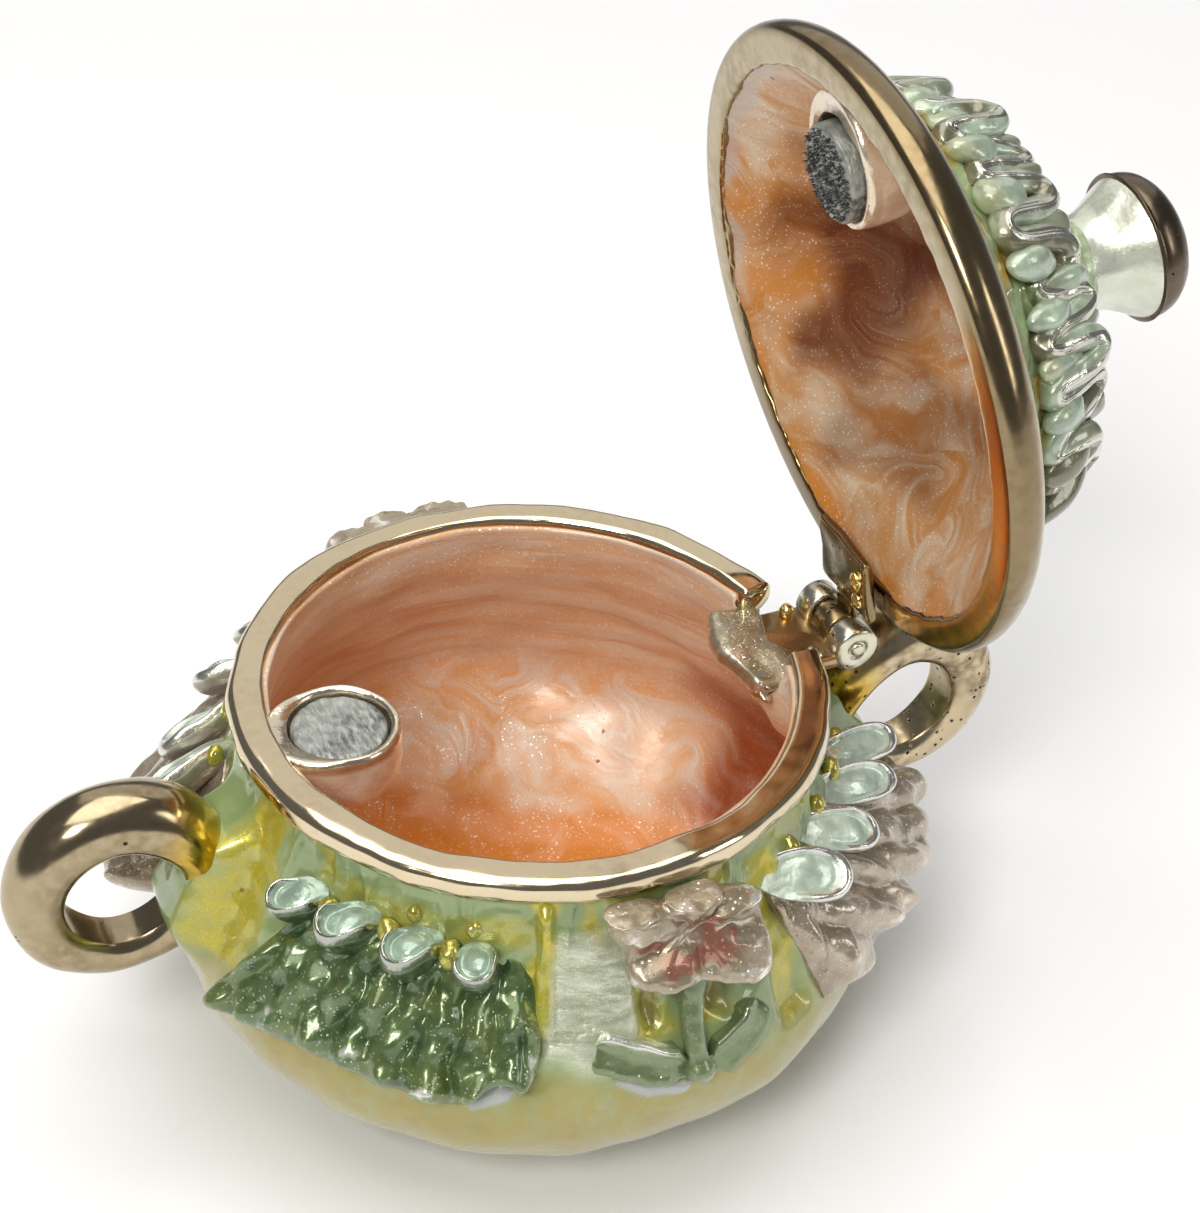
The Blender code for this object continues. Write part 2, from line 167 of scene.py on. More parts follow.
# where a piece belongs: the body that it rides, the CAD node that it stands for and the record's finish
bowlEnamelled, bowlGilt = ("bowl_body", "bowl", "bowl_enamel"), ("bowl_body", "bowl", "gilt_metal")
lidEnamelled, lidGilt = ("lid_body", "lid", "lid_enamel"), ("lid_body", "lid", "gilt_metal")
bowlHinge, lidHinge = ("bowl_body", "bowl_hinge", "gilt_metal"), ("lid_body", "lid_hinge", "gilt_metal")
hingePin = ("bowl_body", "hinge_pin", "pin_metal")
bowlMagnet = ("bowl_body", "bowl_magnet", "magnet_plating")
lidMagnet = ("lid_body", "lid_magnet", "magnet_plating")


def putPiece(name, mesh, finish, home):
    body, node, slot = home
    mesh.materials.append(finish)
    piece = bpy.data.objects.new(name, mesh)
    bpy.context.scene.collection.objects.link(piece)
    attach(piece, body)
    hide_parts(node)


def putSurface(name, grid, finish, home, wrap="u", cap="", shut=True, **masks):
    # one piece from a grid of points, or from several grids of the same size, with the masks that its
    # finish reads; the lid's shapes are given shut
    grids = grid if grid.ndim == 4 else grid[None]
    if home[0] == "lid_body" and shut:
        grids = openLid(grids)
    parts = [gridFaces(part, wrap, cap) for part in grids]
    size = len(parts[0][0])
    points = np.vstack([part[0] for part in parts])
    quads = np.vstack([part[1] + k * size for k, part in enumerate(parts)])
    tris = np.vstack([part[2] + k * size for k, part in enumerate(parts)])
    mesh = bpy.data.meshes.new(name)
    mesh.vertices.add(len(points))
    mesh.vertices.foreach_set("co", (points * mm).ravel())
    mesh.loops.add(quads.size + tris.size)
    mesh.loops.foreach_set("vertex_index", np.concatenate([quads.ravel(), tris.ravel()]).astype(np.int32))
    starts = np.append(np.arange(len(quads)) * 4, quads.size + np.arange(len(tris)) * 3)
    mesh.polygons.add(len(starts))
    mesh.polygons.foreach_set("loop_start", starts.astype(np.int32))
    mesh.update(calc_edges=True)
    mesh.shade_smooth()
    nodes = finish.node_tree.nodes
    for label in sorted({node.attribute_name for node in nodes if node.type == "ATTRIBUTE"}):
        flat = np.broadcast_to(masks.get(label, 0.0), grids.shape[:3]).reshape(len(grids), -1)
        flat = np.hstack([flat, np.repeat(flat[:, -1:], size - flat.shape[1], 1)]).ravel()
        mesh.attributes.new(label, "FLOAT", "POINT").data.foreach_set("value", flat.astype(np.float32))
    weld(mesh)
    putPiece(name, mesh, finish, home)


# materials

class Value:
    # value in a shader tree: arithmetic on it adds the nodes that work it out
    def __init__(self, socket):
        self.socket, self.tree = socket, socket.id_data

    def maths(self, operation, *inputs):
        node = addNode(self.tree, "ShaderNodeMath", operation=operation)
        for slot, value in zip(node.inputs, inputs):
            feed(slot, value)
        return Value(node.outputs[0])

    def __add__(self, other):
        return self.maths("ADD", self, other)

    def __sub__(self, other):
        return self.maths("SUBTRACT", self, other)

    def __rsub__(self, other):
        return self.maths("SUBTRACT", other, self)

    def __mul__(self, other):
        return self.maths("MULTIPLY", self, other)

    def __rtruediv__(self, other):
        return self.maths("DIVIDE", other, self)

    def atLeast(self, other):
        return self.maths("MAXIMUM", self, other)

    def clipped(self):
        self.socket.node.use_clamp = True
        return self

    def ramp(self, low, high, bottom=0.0, top=1.0):
        # stretched smoothly from one range to another
        node = addNode(self.tree, "ShaderNodeMapRange", interpolation_type="SMOOTHSTEP")
        for slot, value in zip(node.inputs, (self, low, high, bottom, top)):
            feed(slot, value)
        return Value(node.outputs[0])


def feed(slot, value):
    # links a value to a socket, or sets a plain number, vector or colour there
    if isinstance(value, Value):
        value.tree.links.new(value.socket, slot)
    else:
        slot.default_value = (*value, 1) if slot.type == "RGBA" else value


def addNode(tree, kind, **values):
    # node with its settings, or its inputs where the name is a socket's
    node = tree.nodes.new(kind)
    for key, value in values.items():
        if hasattr(node, key):
            setattr(node, key, value)
        else:
            feed(node.inputs[key.replace("_", " ")], value)
    return node


def mixed(share, low, high):
    # colour between two colours
    node = addNode(share.tree, "ShaderNodeMix", data_type="RGBA")
    for index, value in ((0, share), (6, low), (7, high)):
        feed(node.inputs[index], value)
    return Value(node.outputs[2])


def vectors(operation, *inputs):
    # vector maths; a length as the second input of a scale goes to its own socket
    node = addNode(inputs[0].tree, "ShaderNodeVectorMath", operation=operation)
    slots = (node.inputs[0], node.inputs["Scale"]) if operation == "SCALE" else node.inputs
    for slot, value in zip(slots, inputs):
        feed(slot, value)
    return Value(node.outputs[0])


def newGroup(name, inputs, outputs):
    # node group, the values it is given and the sockets that it fills
    group = bpy.data.node_groups.new(name, "ShaderNodeTree")
    for label, value in inputs.items():
        kind = "NodeSocketVector" if value is None else "NodeSocketFloat"
        socket = group.interface.new_socket(label, in_out="INPUT", socket_type=kind)
        if value is not None:
            socket.default_value = value
    for label, kind in outputs.items():
        group.interface.new_socket(label, in_out="OUTPUT", socket_type="NodeSocket" + kind)
    given = {socket.name: Value(socket) for socket in group.nodes.new("NodeGroupInput").outputs}
    return group, given, group.nodes.new("NodeGroupOutput").inputs


def useGroup(group, **values):
    node = addNode(values["Place"].tree, "ShaderNodeGroup", node_tree=group, **values)
    return {socket.name: Value(socket) for socket in node.outputs}


def makeCloud():
    # soft mottling: noise at a size in millimetres, stretched to full contrast
    group, given, gives = newGroup("cloud", dict(Place=None, Size=3.0, Detail=3.0, Swirl=0.0),
                                   dict(Mask="Float"))
    noise = addNode(group, "ShaderNodeTexNoise", Vector=given["Place"], Scale=1 / mm / given["Size"],
                    Detail=given["Detail"], Distortion=given["Swirl"])
    feed(gives["Mask"], Value(noise.outputs["Fac"]).ramp(0.3, 0.7))
    return group


def makeGlitter():
    # mica flakes: random cells, a share of them bright, each with its own tilt
    group, given, gives = newGroup("glitter", dict(Place=None, Size=0.2, Share=0.1),
                                   dict(Spark="Float", Tilt="Float", Facing="Vector"))
    cells = addNode(group, "ShaderNodeTexVoronoi", Randomness=1.0, Vector=given["Place"],
                    Scale=1 / mm / given["Size"])
    random = Value(cells.outputs["Color"])
    split = addNode(group, "ShaderNodeSeparateColor", Color=random).outputs
    red, green = Value(split[0]), Value(split[1])
    core = Value(cells.outputs["Distance"]).ramp(0.25, 0.5, 1.0, 0.0)
    feed(gives["Spark"], red.maths("LESS_THAN", red, given["Share"]) * core)
    feed(gives["Tilt"], green)
    feed(gives["Facing"], vectors("SUBTRACT", random, (0.5, 0.5, 0.5)))
    return group


def makeSwirl():
    # stirred enamel: each cell turns the place about its own centre, most in the middle, and thin
    # stretched noise read there makes curls and feathered strands
    group, given, gives = newGroup("stirredEnamel", dict(Place=None, Across=None, Curl=5.0, Turn=4.0),
                                   dict(Curls="Float", Strands="Float"))
    drift = addNode(group, "ShaderNodeTexNoise", Scale=130.0, Detail=2.0, Vector=given["Place"])
    off = vectors("MULTIPLY_ADD", Value(drift.outputs["Color"]), (0.006, 0.006, 0.006), given["Place"])
    cells = addNode(group, "ShaderNodeTexVoronoi", Randomness=0.9, Vector=off, Scale=1 / mm / given["Curl"])
    centre, reach = Value(cells.outputs["Position"]), Value(cells.outputs["Distance"])
    fall = reach.maths("POWER", 2.718, reach * reach * -8.5)    # bell curve of the distance from the centre
    spin = addNode(group, "ShaderNodeVectorRotate", rotation_type="AXIS_ANGLE", Vector=off, Center=centre,
                   Axis=given["Across"], Angle=fall * given["Turn"])
    stretch = vectors("MULTIPLY", Value(spin.outputs[0]), (1.0, 0.35, 1.6))
    broad = dict(Scale=225.0, Detail=2.0, Roughness=0.5, Distortion=0.6)
    fine = dict(Scale=760.0, Detail=3.0, Roughness=0.55, Distortion=0.4)
    for label, values, low, high in (("Curls", broad, 0.38, 0.64), ("Strands", fine, 0.36, 0.66)):
        noise = addNode(group, "ShaderNodeTexNoise", Vector=stretch, **values)
        feed(gives[label], Value(noise.outputs["Fac"]).ramp(low, high))
    return group


cloud, glitter, swirl = makeCloud(), makeGlitter(), makeSwirl()


def cloudAt(place, size, detail, swirled=0.0):
    return useGroup(cloud, Place=place, Size=size, Detail=detail, Swirl=swirled)["Mask"]


def glitterAt(place, size, share):
    return useGroup(glitter, Place=place, Size=size, Share=share)


def mask(place, label):
    # value painted on the mesh under a name; 0 where nothing was painted
    return Value(addNode(place.tree, "ShaderNodeAttribute", attribute_name=label).outputs["Fac"])


def newMaterial(name, **values):
    # material with plain values set, the place in its object's own axes, and the shader's sockets
    made = bpy.data.materials.new(name)
    made.use_nodes = True
    shader = made.node_tree.nodes["Principled BSDF"].inputs
    for key, value in values.items():
        feed(shader[key.replace("_", " ")], value)
    return made, Value(addNode(made.node_tree, "ShaderNodeTexCoord").outputs["Object"]), shader


def addRelief(shader, height, distance, facing=None, tilt=None):
    # relief of a finish, its height in millimetres; flakes also turn the normal their own way
    node = addNode(height.tree, "ShaderNodeBump", Strength=1.0, Distance=distance * mm, Height=height)
    normal = Value(node.outputs[0])
    if facing:
        normal = vectors("NORMALIZE", vectors("ADD", normal, vectors("SCALE", facing, tilt)))
    feed(shader["Normal"], normal)


def tinted(colour, factor):
    return tuple(factor * channel for channel in colour)


def goldFinish(name, colour, dark, rough, worn, pits=0.0, golden=None, bronze=None):
    # gilt metal: tone and polish drift over the surface, with darker tarnish in patches and small pits
    made, place, shader = newMaterial(name, Metallic=1.0)
    tone, fine = cloudAt(place, 6.0, 3.0), cloudAt(place, 0.8, 4.0)
    shade = mixed((tone * fine * (2 * worn)).clipped(), colour, dark)
    # tints where the masks say: brass at the handles' roots, a painted orange reflection on the lid's rim,
    # and the rim's darker edge
    for label, tint in (("golden", golden), ("bronze", bronze)):
        if tint:
            shade = mixed(mask(place, label), shade, tint)
    spots = glitterAt(place, 0.35, pits)["Spark"]
    feed(shader["Base Color"], mixed(spots, shade, tinted(dark, 0.3)))
    feed(shader["Roughness"], (fine * 0.08 + rough).atLeast(spots * 0.7))
    addRelief(shader, tone * 0.5 - spots, 0.05)
    return made


def peachFinish(name, deep, shadow, pearl, warmth, curl, shadowSize, shadowFrom, turns):
    # stirred pearl enamel: pale pearly curls in deep orange, drawn into level streaks up the wall, with mica
    # flakes, a milky border where the mask says, under a clear wet coat; painted shade where the shade mask
    # says
    made, place, shader = newMaterial(name, Coat_Roughness=0.15)
    wall, paintedShade = mask(place, "wall"), mask(place, "shade")
    across = Value(addNode(place.tree, "ShaderNodeTexCoord").outputs["Normal"])
    stirred = useGroup(swirl, Place=place, Across=across, Curl=curl, Turn=turns)
    curls = stirred["Curls"] * 0.68 + stirred["Strands"] * 0.32
    streaks = cloudAt(vectors("MULTIPLY", place, (0.7, 0.7, 5.0)), 7.0, 5.0, 0.8)
    light = curls * (1 - wall * 0.85) + streaks * (wall * 0.85)
    shade = cloudAt(place, shadowSize, 1.0).ramp(shadowFrom, shadowFrom + 0.6)
    colour = mixed(light, mixed(shade, deep, shadow), mixed(shade, pearl, deep))
    colour = mixed(mask(place, "warm") * (1 - light * 0.25), colour, warmth)
    colour = mixed(wall * 0.38, colour, (0.76, 0.62, 0.48))
    # painted shade: the shadow colour where the shade mask says, with fewer flakes and less coat there
    colour = mixed(paintedShade * (1 - light * 0.22), colour, shadow)
    flakes = glitterAt(place, 0.17, 0.16)
    sparkle = flakes["Spark"] * ((wall * 0.65 + light * 0.80 + 0.15) * (1 - paintedShade * 0.8))
    colour = mixed(sparkle, colour, (0.98, 0.90, 0.82))
    colour = mixed(mask(place, "milky"), colour, (0.56, 0.49, 0.45))
    specks = glitterAt(place, 0.45, 0.0012)["Spark"]
    feed(shader["Base Color"], mixed(specks, colour, (0.34, 0.13, 0.05)))
    feed(shader["Metallic"], light * 0.16 + sparkle * 0.12 + paintedShade * 0.35)
    feed(shader["Roughness"], 0.46 - sparkle * 0.25)
    feed(shader["Coat Weight"], 0.27 - paintedShade * 0.22)
    addRelief(shader, light + flakes["Tilt"] * 0.30, 0.06, flakes["Facing"], sparkle * 0.7)
    return made


def enamelFinish(name, green, pale, yellow):
    # celadon enamel over metal: cloudy green, painted yellow, ochre and brushed pearl where the masks say
    made, place, shader = newMaterial(name, Coat_Weight=1.0, Coat_Roughness=0.06)
    mottle, fine = cloudAt(place, 3.5, 4.0, 0.6), cloudAt(place, 1.1, 5.0)
    gold = (mask(place, "yellow") * (fine * 0.5 + 0.6)).clipped()
    colour = mixed(gold, mixed(mottle, green, pale), yellow)
    ochre = (0.32, 0.26, 0.055)
    honey = mixed(fine, mixed(mottle, ochre, (0.35, 0.36, 0.16)), tinted(ochre, 1.15))
    colour = mixed(mask(place, "ochre"), colour, honey)
    silver = (mask(place, "pearl") * (fine * 0.25 + 0.72)).clipped()
    brushed = cloudAt(vectors("MULTIPLY", place, (1.0, 1.0, 3.6)), 2.6, 6.0, 0.5)
    colour = mixed(silver, colour, mixed(brushed, (0.46, 0.50, 0.34), (0.84, 0.86, 0.70)))
    flakes = glitterAt(place, 0.14, 0.3)
    colour = mixed(flakes["Spark"] * silver.atLeast(gold * 0.35) * 0.6, colour, (0.95, 0.95, 0.82))
    # near-black where the bare mask says: a dark band just above the foot, and painted shade in the two
    # pockets by the stem
    colour = mixed(mask(place, "bare"), colour, (0.10, 0.08, 0.05))
    colour = mixed(glitterAt(place, 0.40, 0.002)["Spark"], colour, (0.22, 0.17, 0.07))
    feed(shader["Base Color"], mixed(mask(place, "drip"), colour, (0.40, 0.42, 0.40)))
    feed(shader["Metallic"], (silver * 0.8).atLeast(gold * 0.5).atLeast(0.12))
    feed(shader["Roughness"], silver.ramp(0, 1, 0.34, 0.44))
    grain = flakes["Tilt"] * (silver.atLeast(gold) * 0.45)
    addRelief(shader, brushed * silver * 0.9 + fine * 0.3 + grain, 0.08)
    return made


def ruffleFinish(name, face, under, underMetal=0.6, lip=(0.74, 0.72, 0.66)):
    # thin mint enamel over metal, wiped off the raised lips, which stay bright; another colour underneath
    made, place, shader = newMaterial(name, Coat_Weight=1.0, Coat_Roughness=0.03)
    mottle, fine = cloudAt(place, 1.2, 4.0, 0.5), cloudAt(place, 0.5, 4.0)
    silver = (mask(place, "edge") + fine * 0.12).ramp(0.55, 0.85)
    # under: the colour underneath, which on the frill also carries painted shade low in its folds
    below = mask(place, "under")
    colour = mixed(below, mixed(mottle, tinted(face, 0.88), tinted(face, 1.38)), under)
    colour = mixed(mask(place, "yellow"), colour, (0.50, 0.36, 0.03))
    feed(shader["Base Color"], mixed(silver, colour, lip))
    feed(shader["Metallic"], silver.atLeast(below * underMetal).atLeast(0.3))
    feed(shader["Roughness"], silver.ramp(0, 1, 0.30, 0.27))
    addRelief(shader, mottle + fine * 0.4, 0.03)
    return made


def glitterFinish(name, low, high, bright, ridge=0.5, flake=0.13, share=0.25, metal=0.6, gloss=0.36,
                  grain=0.09, coat=0.06, hint=None):
    # metallic enamel full of mica, with bright flakes; where the ridge mask says it is lighter on raised
    # parts and darker in the folds: painted highlight and painted shade
    made, place, shader = newMaterial(name, Coat_Weight=0.8, Coat_Roughness=coat, Metallic=metal)
    mottle, flakes = cloudAt(place, 1.6, 4.0), glitterAt(place, flake, share)
    lift = mask(place, "ridge") * ridge + mottle * (1 - ridge)
    colour = mixed(lift, low, high)
    if hint:
        colour = mixed(cloudAt(place, 3.4, 3.0).ramp(0.5, 1.0, 0.0, 0.45), colour, hint)
    # the highest crests take the bright colour outright: painted highlight
    shine = (flakes["Spark"] * (lift * 0.7 + 0.08)).atLeast(lift.ramp(0.74, 1.0))
    colour = mixed(shine, colour, bright)
    feed(shader["Base Color"], mixed(mask(place, "blush"), colour, (0.38, 0.16, 0.11)))
    feed(shader["Roughness"], shine.ramp(0, 0.8, gloss, 0.20))
    addRelief(shader, flakes["Tilt"] * 0.45 + mottle * 0.7, grain, flakes["Facing"], flakes["Spark"] * 1.1)
    return made


def filingsFinish(name, low, high, size):
    # dull plating under clinging iron filings: short strokes of another tone
    made, place, shader = newMaterial(name, Metallic=0.6, Roughness=0.5)
    mark = cloudAt(vectors("MULTIPLY", place, (1.0, 0.35, 1.0)), size * 2, 4.0)
    share = (mark * (cloudAt(place, 2.2, 2.0) * 0.8 + 0.25)).clipped()
    feed(shader["Base Color"], mixed(share, low, high))
    addRelief(shader, mark, 0.06)
    return made


def cupFinish():
    # peach pearl on the side of a magnet's cup, rubbed to bare gilt on its top ring
    made, place, shader = newMaterial("magnetCupEnamel", Coat_Weight=0.4, Coat_Roughness=0.06,
                                      Roughness=0.24)
    mottle, bare = cloudAt(place, 1.8, 4.0), mask(place, "bareMetal")
    colour = mixed(mottle, (0.64, 0.43, 0.29), (0.82, 0.71, 0.58))
    colour = mixed(glitterAt(place, 0.14, 0.2)["Spark"] * 0.5, colour, (0.95, 0.90, 0.84))
    feed(shader["Base Color"], mixed(bare, colour, (0.80, 0.70, 0.55)))
    feed(shader["Metallic"], bare.atLeast(0.4))
    addRelief(shader, mottle, 0.06)
    return made


brass, tarnish = (0.66, 0.44, 0.05), (0.24, 0.17, 0.09)
gold = goldFinish("champagneGilt", (0.74, 0.63, 0.435), (0.50, 0.36, 0.22), 0.10, 0.16)
# the lid's gilt: its golden tint is a painted orange reflection
lidGold = goldFinish("lidGilt", (0.46, 0.385, 0.245), (0.27, 0.20, 0.10), 0.16, 0.40,
                     golden=(0.74, 0.35, 0.035), bronze=(0.19, 0.125, 0.055))
# darker copy of the gilt for the left handle: painted dark reflection
darkReflectionGold = goldFinish("bronzeGilt", (0.44, 0.36, 0.23), tarnish, 0.14, 0.34, 0.003, brass)
wornGold = goldFinish("wornGilt", (0.62, 0.51, 0.34), tarnish, 0.18, 0.5, 0.10, brass)
capGold = goldFinish("capGilt", (0.155, 0.12, 0.085), (0.09, 0.065, 0.04), 0.24, 0.5, 0.004)
solderFinish = goldFinish("solder", (0.50, 0.34, 0.18), (0.26, 0.15, 0.07), 0.26, 0.5, 0.01)
knuckleFinish = goldFinish("paleKnuckle", (0.74, 0.70, 0.56), (0.30, 0.25, 0.16), 0.22, 0.3, 0.02)
brownFinish = goldFinish("brownKnuckle", (0.32, 0.23, 0.12), (0.11, 0.07, 0.04), 0.24, 0.4, 0.02)
brightDot = goldFinish("solderDot", (0.90, 0.68, 0.28), (0.60, 0.36, 0.10), 0.16, 0.3)
lumpFinish = glitterFinish("solderedPearl", (0.40, 0.35, 0.24), (0.56, 0.50, 0.36), (0.85, 0.80, 0.70),
                           ridge=0.0, metal=0.8, gloss=0.34)
magnetCupFinish = cupFinish()
peach = peachFinish("peachEnamel", (0.80, 0.40, 0.14), (0.31, 0.058, 0.014), (0.82, 0.71, 0.60),
                    (0.70, 0.23, 0.012), 7.5, 11.0, 0.95, 4.5)
lidPeach = peachFinish("lidPeachEnamel", (0.58, 0.25, 0.055), (0.14, 0.028, 0.005), (0.72, 0.57, 0.40),
                       (0.60, 0.22, 0.02), 8.5, 13.0, 0.80, 4.2)
bodyEnamel = enamelFinish("celadonEnamel", (0.22, 0.305, 0.11), (0.315, 0.40, 0.18), (0.56, 0.48, 0.03))
lidEnamel = enamelFinish("lidCeladonEnamel", (0.28, 0.38, 0.16), (0.40, 0.51, 0.28), (0.60, 0.35, 0.012))
mint = ruffleFinish("mintRuffle", (0.48, 0.57, 0.48), (0.34, 0.29, 0.24))
frillMint = ruffleFinish("mintFrill", (0.35, 0.43, 0.33), (0.20, 0.19, 0.12), 0.55, (0.66, 0.64, 0.54))
mintOnGreen = ruffleFinish("mintPetal", (0.31, 0.42, 0.33), (0.06, 0.11, 0.03), lip=(0.44, 0.47, 0.40))
darkGreen = glitterFinish("pinePleats", (0.040, 0.090, 0.025), (0.18, 0.26, 0.11), (0.84, 0.86, 0.80),
                          flake=0.18, share=0.18, metal=0.40, gloss=0.30, grain=0.06, coat=0.09,
                          hint=(0.19, 0.23, 0.05))
mauve = glitterFinish("mauvePearl", (0.32, 0.255, 0.18), (0.64, 0.56, 0.44), (0.96, 0.93, 0.86), ridge=0.6,
                      flake=0.17, share=0.26, gloss=0.27)
flowerPearl = glitterFinish("flowerPearl", (0.30, 0.24, 0.15), (0.49, 0.42, 0.31), (0.92, 0.88, 0.80),
                            ridge=0.4, flake=0.22, share=0.14, gloss=0.32, grain=0.07)
stemGreen = glitterFinish("stemGreen", (0.12, 0.17, 0.07), (0.25, 0.32, 0.17), (0.62, 0.68, 0.55),
                          share=0.08, metal=0.3)
beadFinish = glitterFinish("oliveBead", (0.36, 0.32, 0.03), (0.60, 0.56, 0.12), (0.86, 0.84, 0.55),
                           ridge=0.4, share=0.08, gloss=0.22)
leafGreen = glitterFinish("leafGreen", (0.18, 0.24, 0.11), (0.42, 0.48, 0.32), (0.84, 0.85, 0.78),
                          ridge=0.85, flake=0.2, share=0.10, gloss=0.28, grain=0.05)
knobPearl = glitterFinish("knobPearl", (0.62, 0.66, 0.52), (0.90, 0.91, 0.82), (0.95, 0.96, 0.90), share=0.0,
                          gloss=0.28, grain=0.04)
plating = filingsFinish("magnetPlating", (0.46, 0.48, 0.45), (0.10, 0.11, 0.11), 0.16)
discEdge = filingsFinish("magnetEdge", (0.40, 0.42, 0.38), (0.08, 0.08, 0.08), 0.3)
filings = filingsFinish("clingingFilings", (0.05, 0.05, 0.05), (0.26, 0.26, 0.25), 0.2)
print("finishes made")


# the bowl

# the bands are painted yellow: angle, half width, top and foot below the rim, strength
bowl = dict(rimHeight=28.0, notchHalf=3.5, notchFloor=24.7, steps=560,
            outer=[(18.9, 26.4), (18.9, 25.6), (19.2, 23.4), (20.7, 19.4), (22.6, 15.8), (23.9, 11.8),
                   (22.8, 8.2), (18.6, 4.2), (12.9, 0.8), (11.5, 0.0)],
            inner=[(0.0, 2.4), (5.0, 2.5), (9.0, 2.8), (15.8, 4.8), (20.2, 8.0), (21.7, 12.0), (18.8, 19.6),
                   (17.2, 24.0), (16.94, 27.35)],
            bands=[(191, 5.5, 0.5, 13.5, 1.0), (207, 2.2, 0.0, 4.6, 0.9), (251, 2.4, 0.0, 10.5, 1.0),
                   (267, 6.0, 0.0, 2.6, 0.7), (296, 3.6, 3.5, 14.5, 1.0), (285, 3.5, 0.0, 4.0, 0.9),
                   (260, 1.6, 1.0, 5.5, 0.9), (269, 3.5, 8.0, 11.5, 0.9), (280, 2.5, 8.5, 11.5, 0.8),
                   (345, 4.0, 0.5, 5.0, 0.9), (242, 7.0, 3.4, 5.2, 0.7), (222, 14.0, 3.6, 5.2, 0.55),
                   (312, 16.0, 1.6, 4.0, 0.45)],
            drips=[(240.6, 13.3, 244.6, 14.3, 0.5, 0.75, 1.0), (262.5, 14.6, 267.0, 13.8, 0.4, 0.7, 1.0),
                   (267.0, 13.8, 272.4, 13.3, 0.7, 0.5, 1.0)],
            threads=[199, 202, 211, 215, 219, 226, 231, 235, 240, 256, 263, 288, 293, 301, 307, 316, 324,
                     331, 339])
outerLine = softLine(bowl["outer"], 150)
onBelly, bellyArc = turnedPlace(outerLine)


def arcAt(height):
    # length down the belly's profile at a height
    return np.interp(-np.asarray(height, float), -outerLine[:, 1], bellyArc)


def belly(angle, height, out):
    return onBelly(angle, arcAt(height), out)


perDegree = 0.4    # millimetres of belly to a degree round it, about


def capsules(angle, height, ridges):
    # soft union of rounded ridges; each runs from one place to another, wider and higher towards its far end
    x, z = np.broadcast_arrays(angle * perDegree, height)
    total = np.zeros(x.shape)
    for a0, z0, a1, z1, r0, r1, tall in ridges:
        x0, long, drop = perDegree * a0, perDegree * (a1 - a0), z1 - z0
        t = np.clip(((x - x0) * long + (z - z0) * drop) / (long ** 2 + drop ** 2), 0, 1)
        gap = ((x - x0 - t * long) ** 2 + (z - z0 - t * drop) ** 2) / (r0 + (r1 - r0) * t) ** 2
        total += (tall * (0.5 + 0.5 * t) * np.clip(1 - gap, 0, 1) ** 0.85) ** 3
    return total ** (1 / 3)


def turned(line, steps):
    # profile turned once round the upright axis
    turn = fullTurn(steps)
    return xyz(line[:, 0] * np.cos(turn), line[:, 0] * np.sin(turn), line[:, 1])


def notchTop(grid, floor, half, soft=0.5):
    # everything above the floor of the hinge's notch is pressed down to it, on the hinge side only
    inNotch = (1 - ease(half, half + soft, np.abs(grid[..., 1]))) * (grid[..., 0] > 0)
    grid[..., 2] += (np.minimum(grid[..., 2], floor) - grid[..., 2]) * inNotch
    return grid


def backed(line, gap):
    # a few places behind a profile, from its end back to the axis, that close it into a thin shell
    back = (line + gap * lineFrame(line)[0])[::-8]
    return np.vstack([back[back[:, 0] > 0.1], (0, back[-1, 1])])


def closedLine(points, count):
    # turned profile that starts and ends exactly on the axis
    line = softLine(points, count)
    return np.vstack([(0, line[0, 1]), line[line[:, 0] > 0.05], (0, line[-1, 1])])


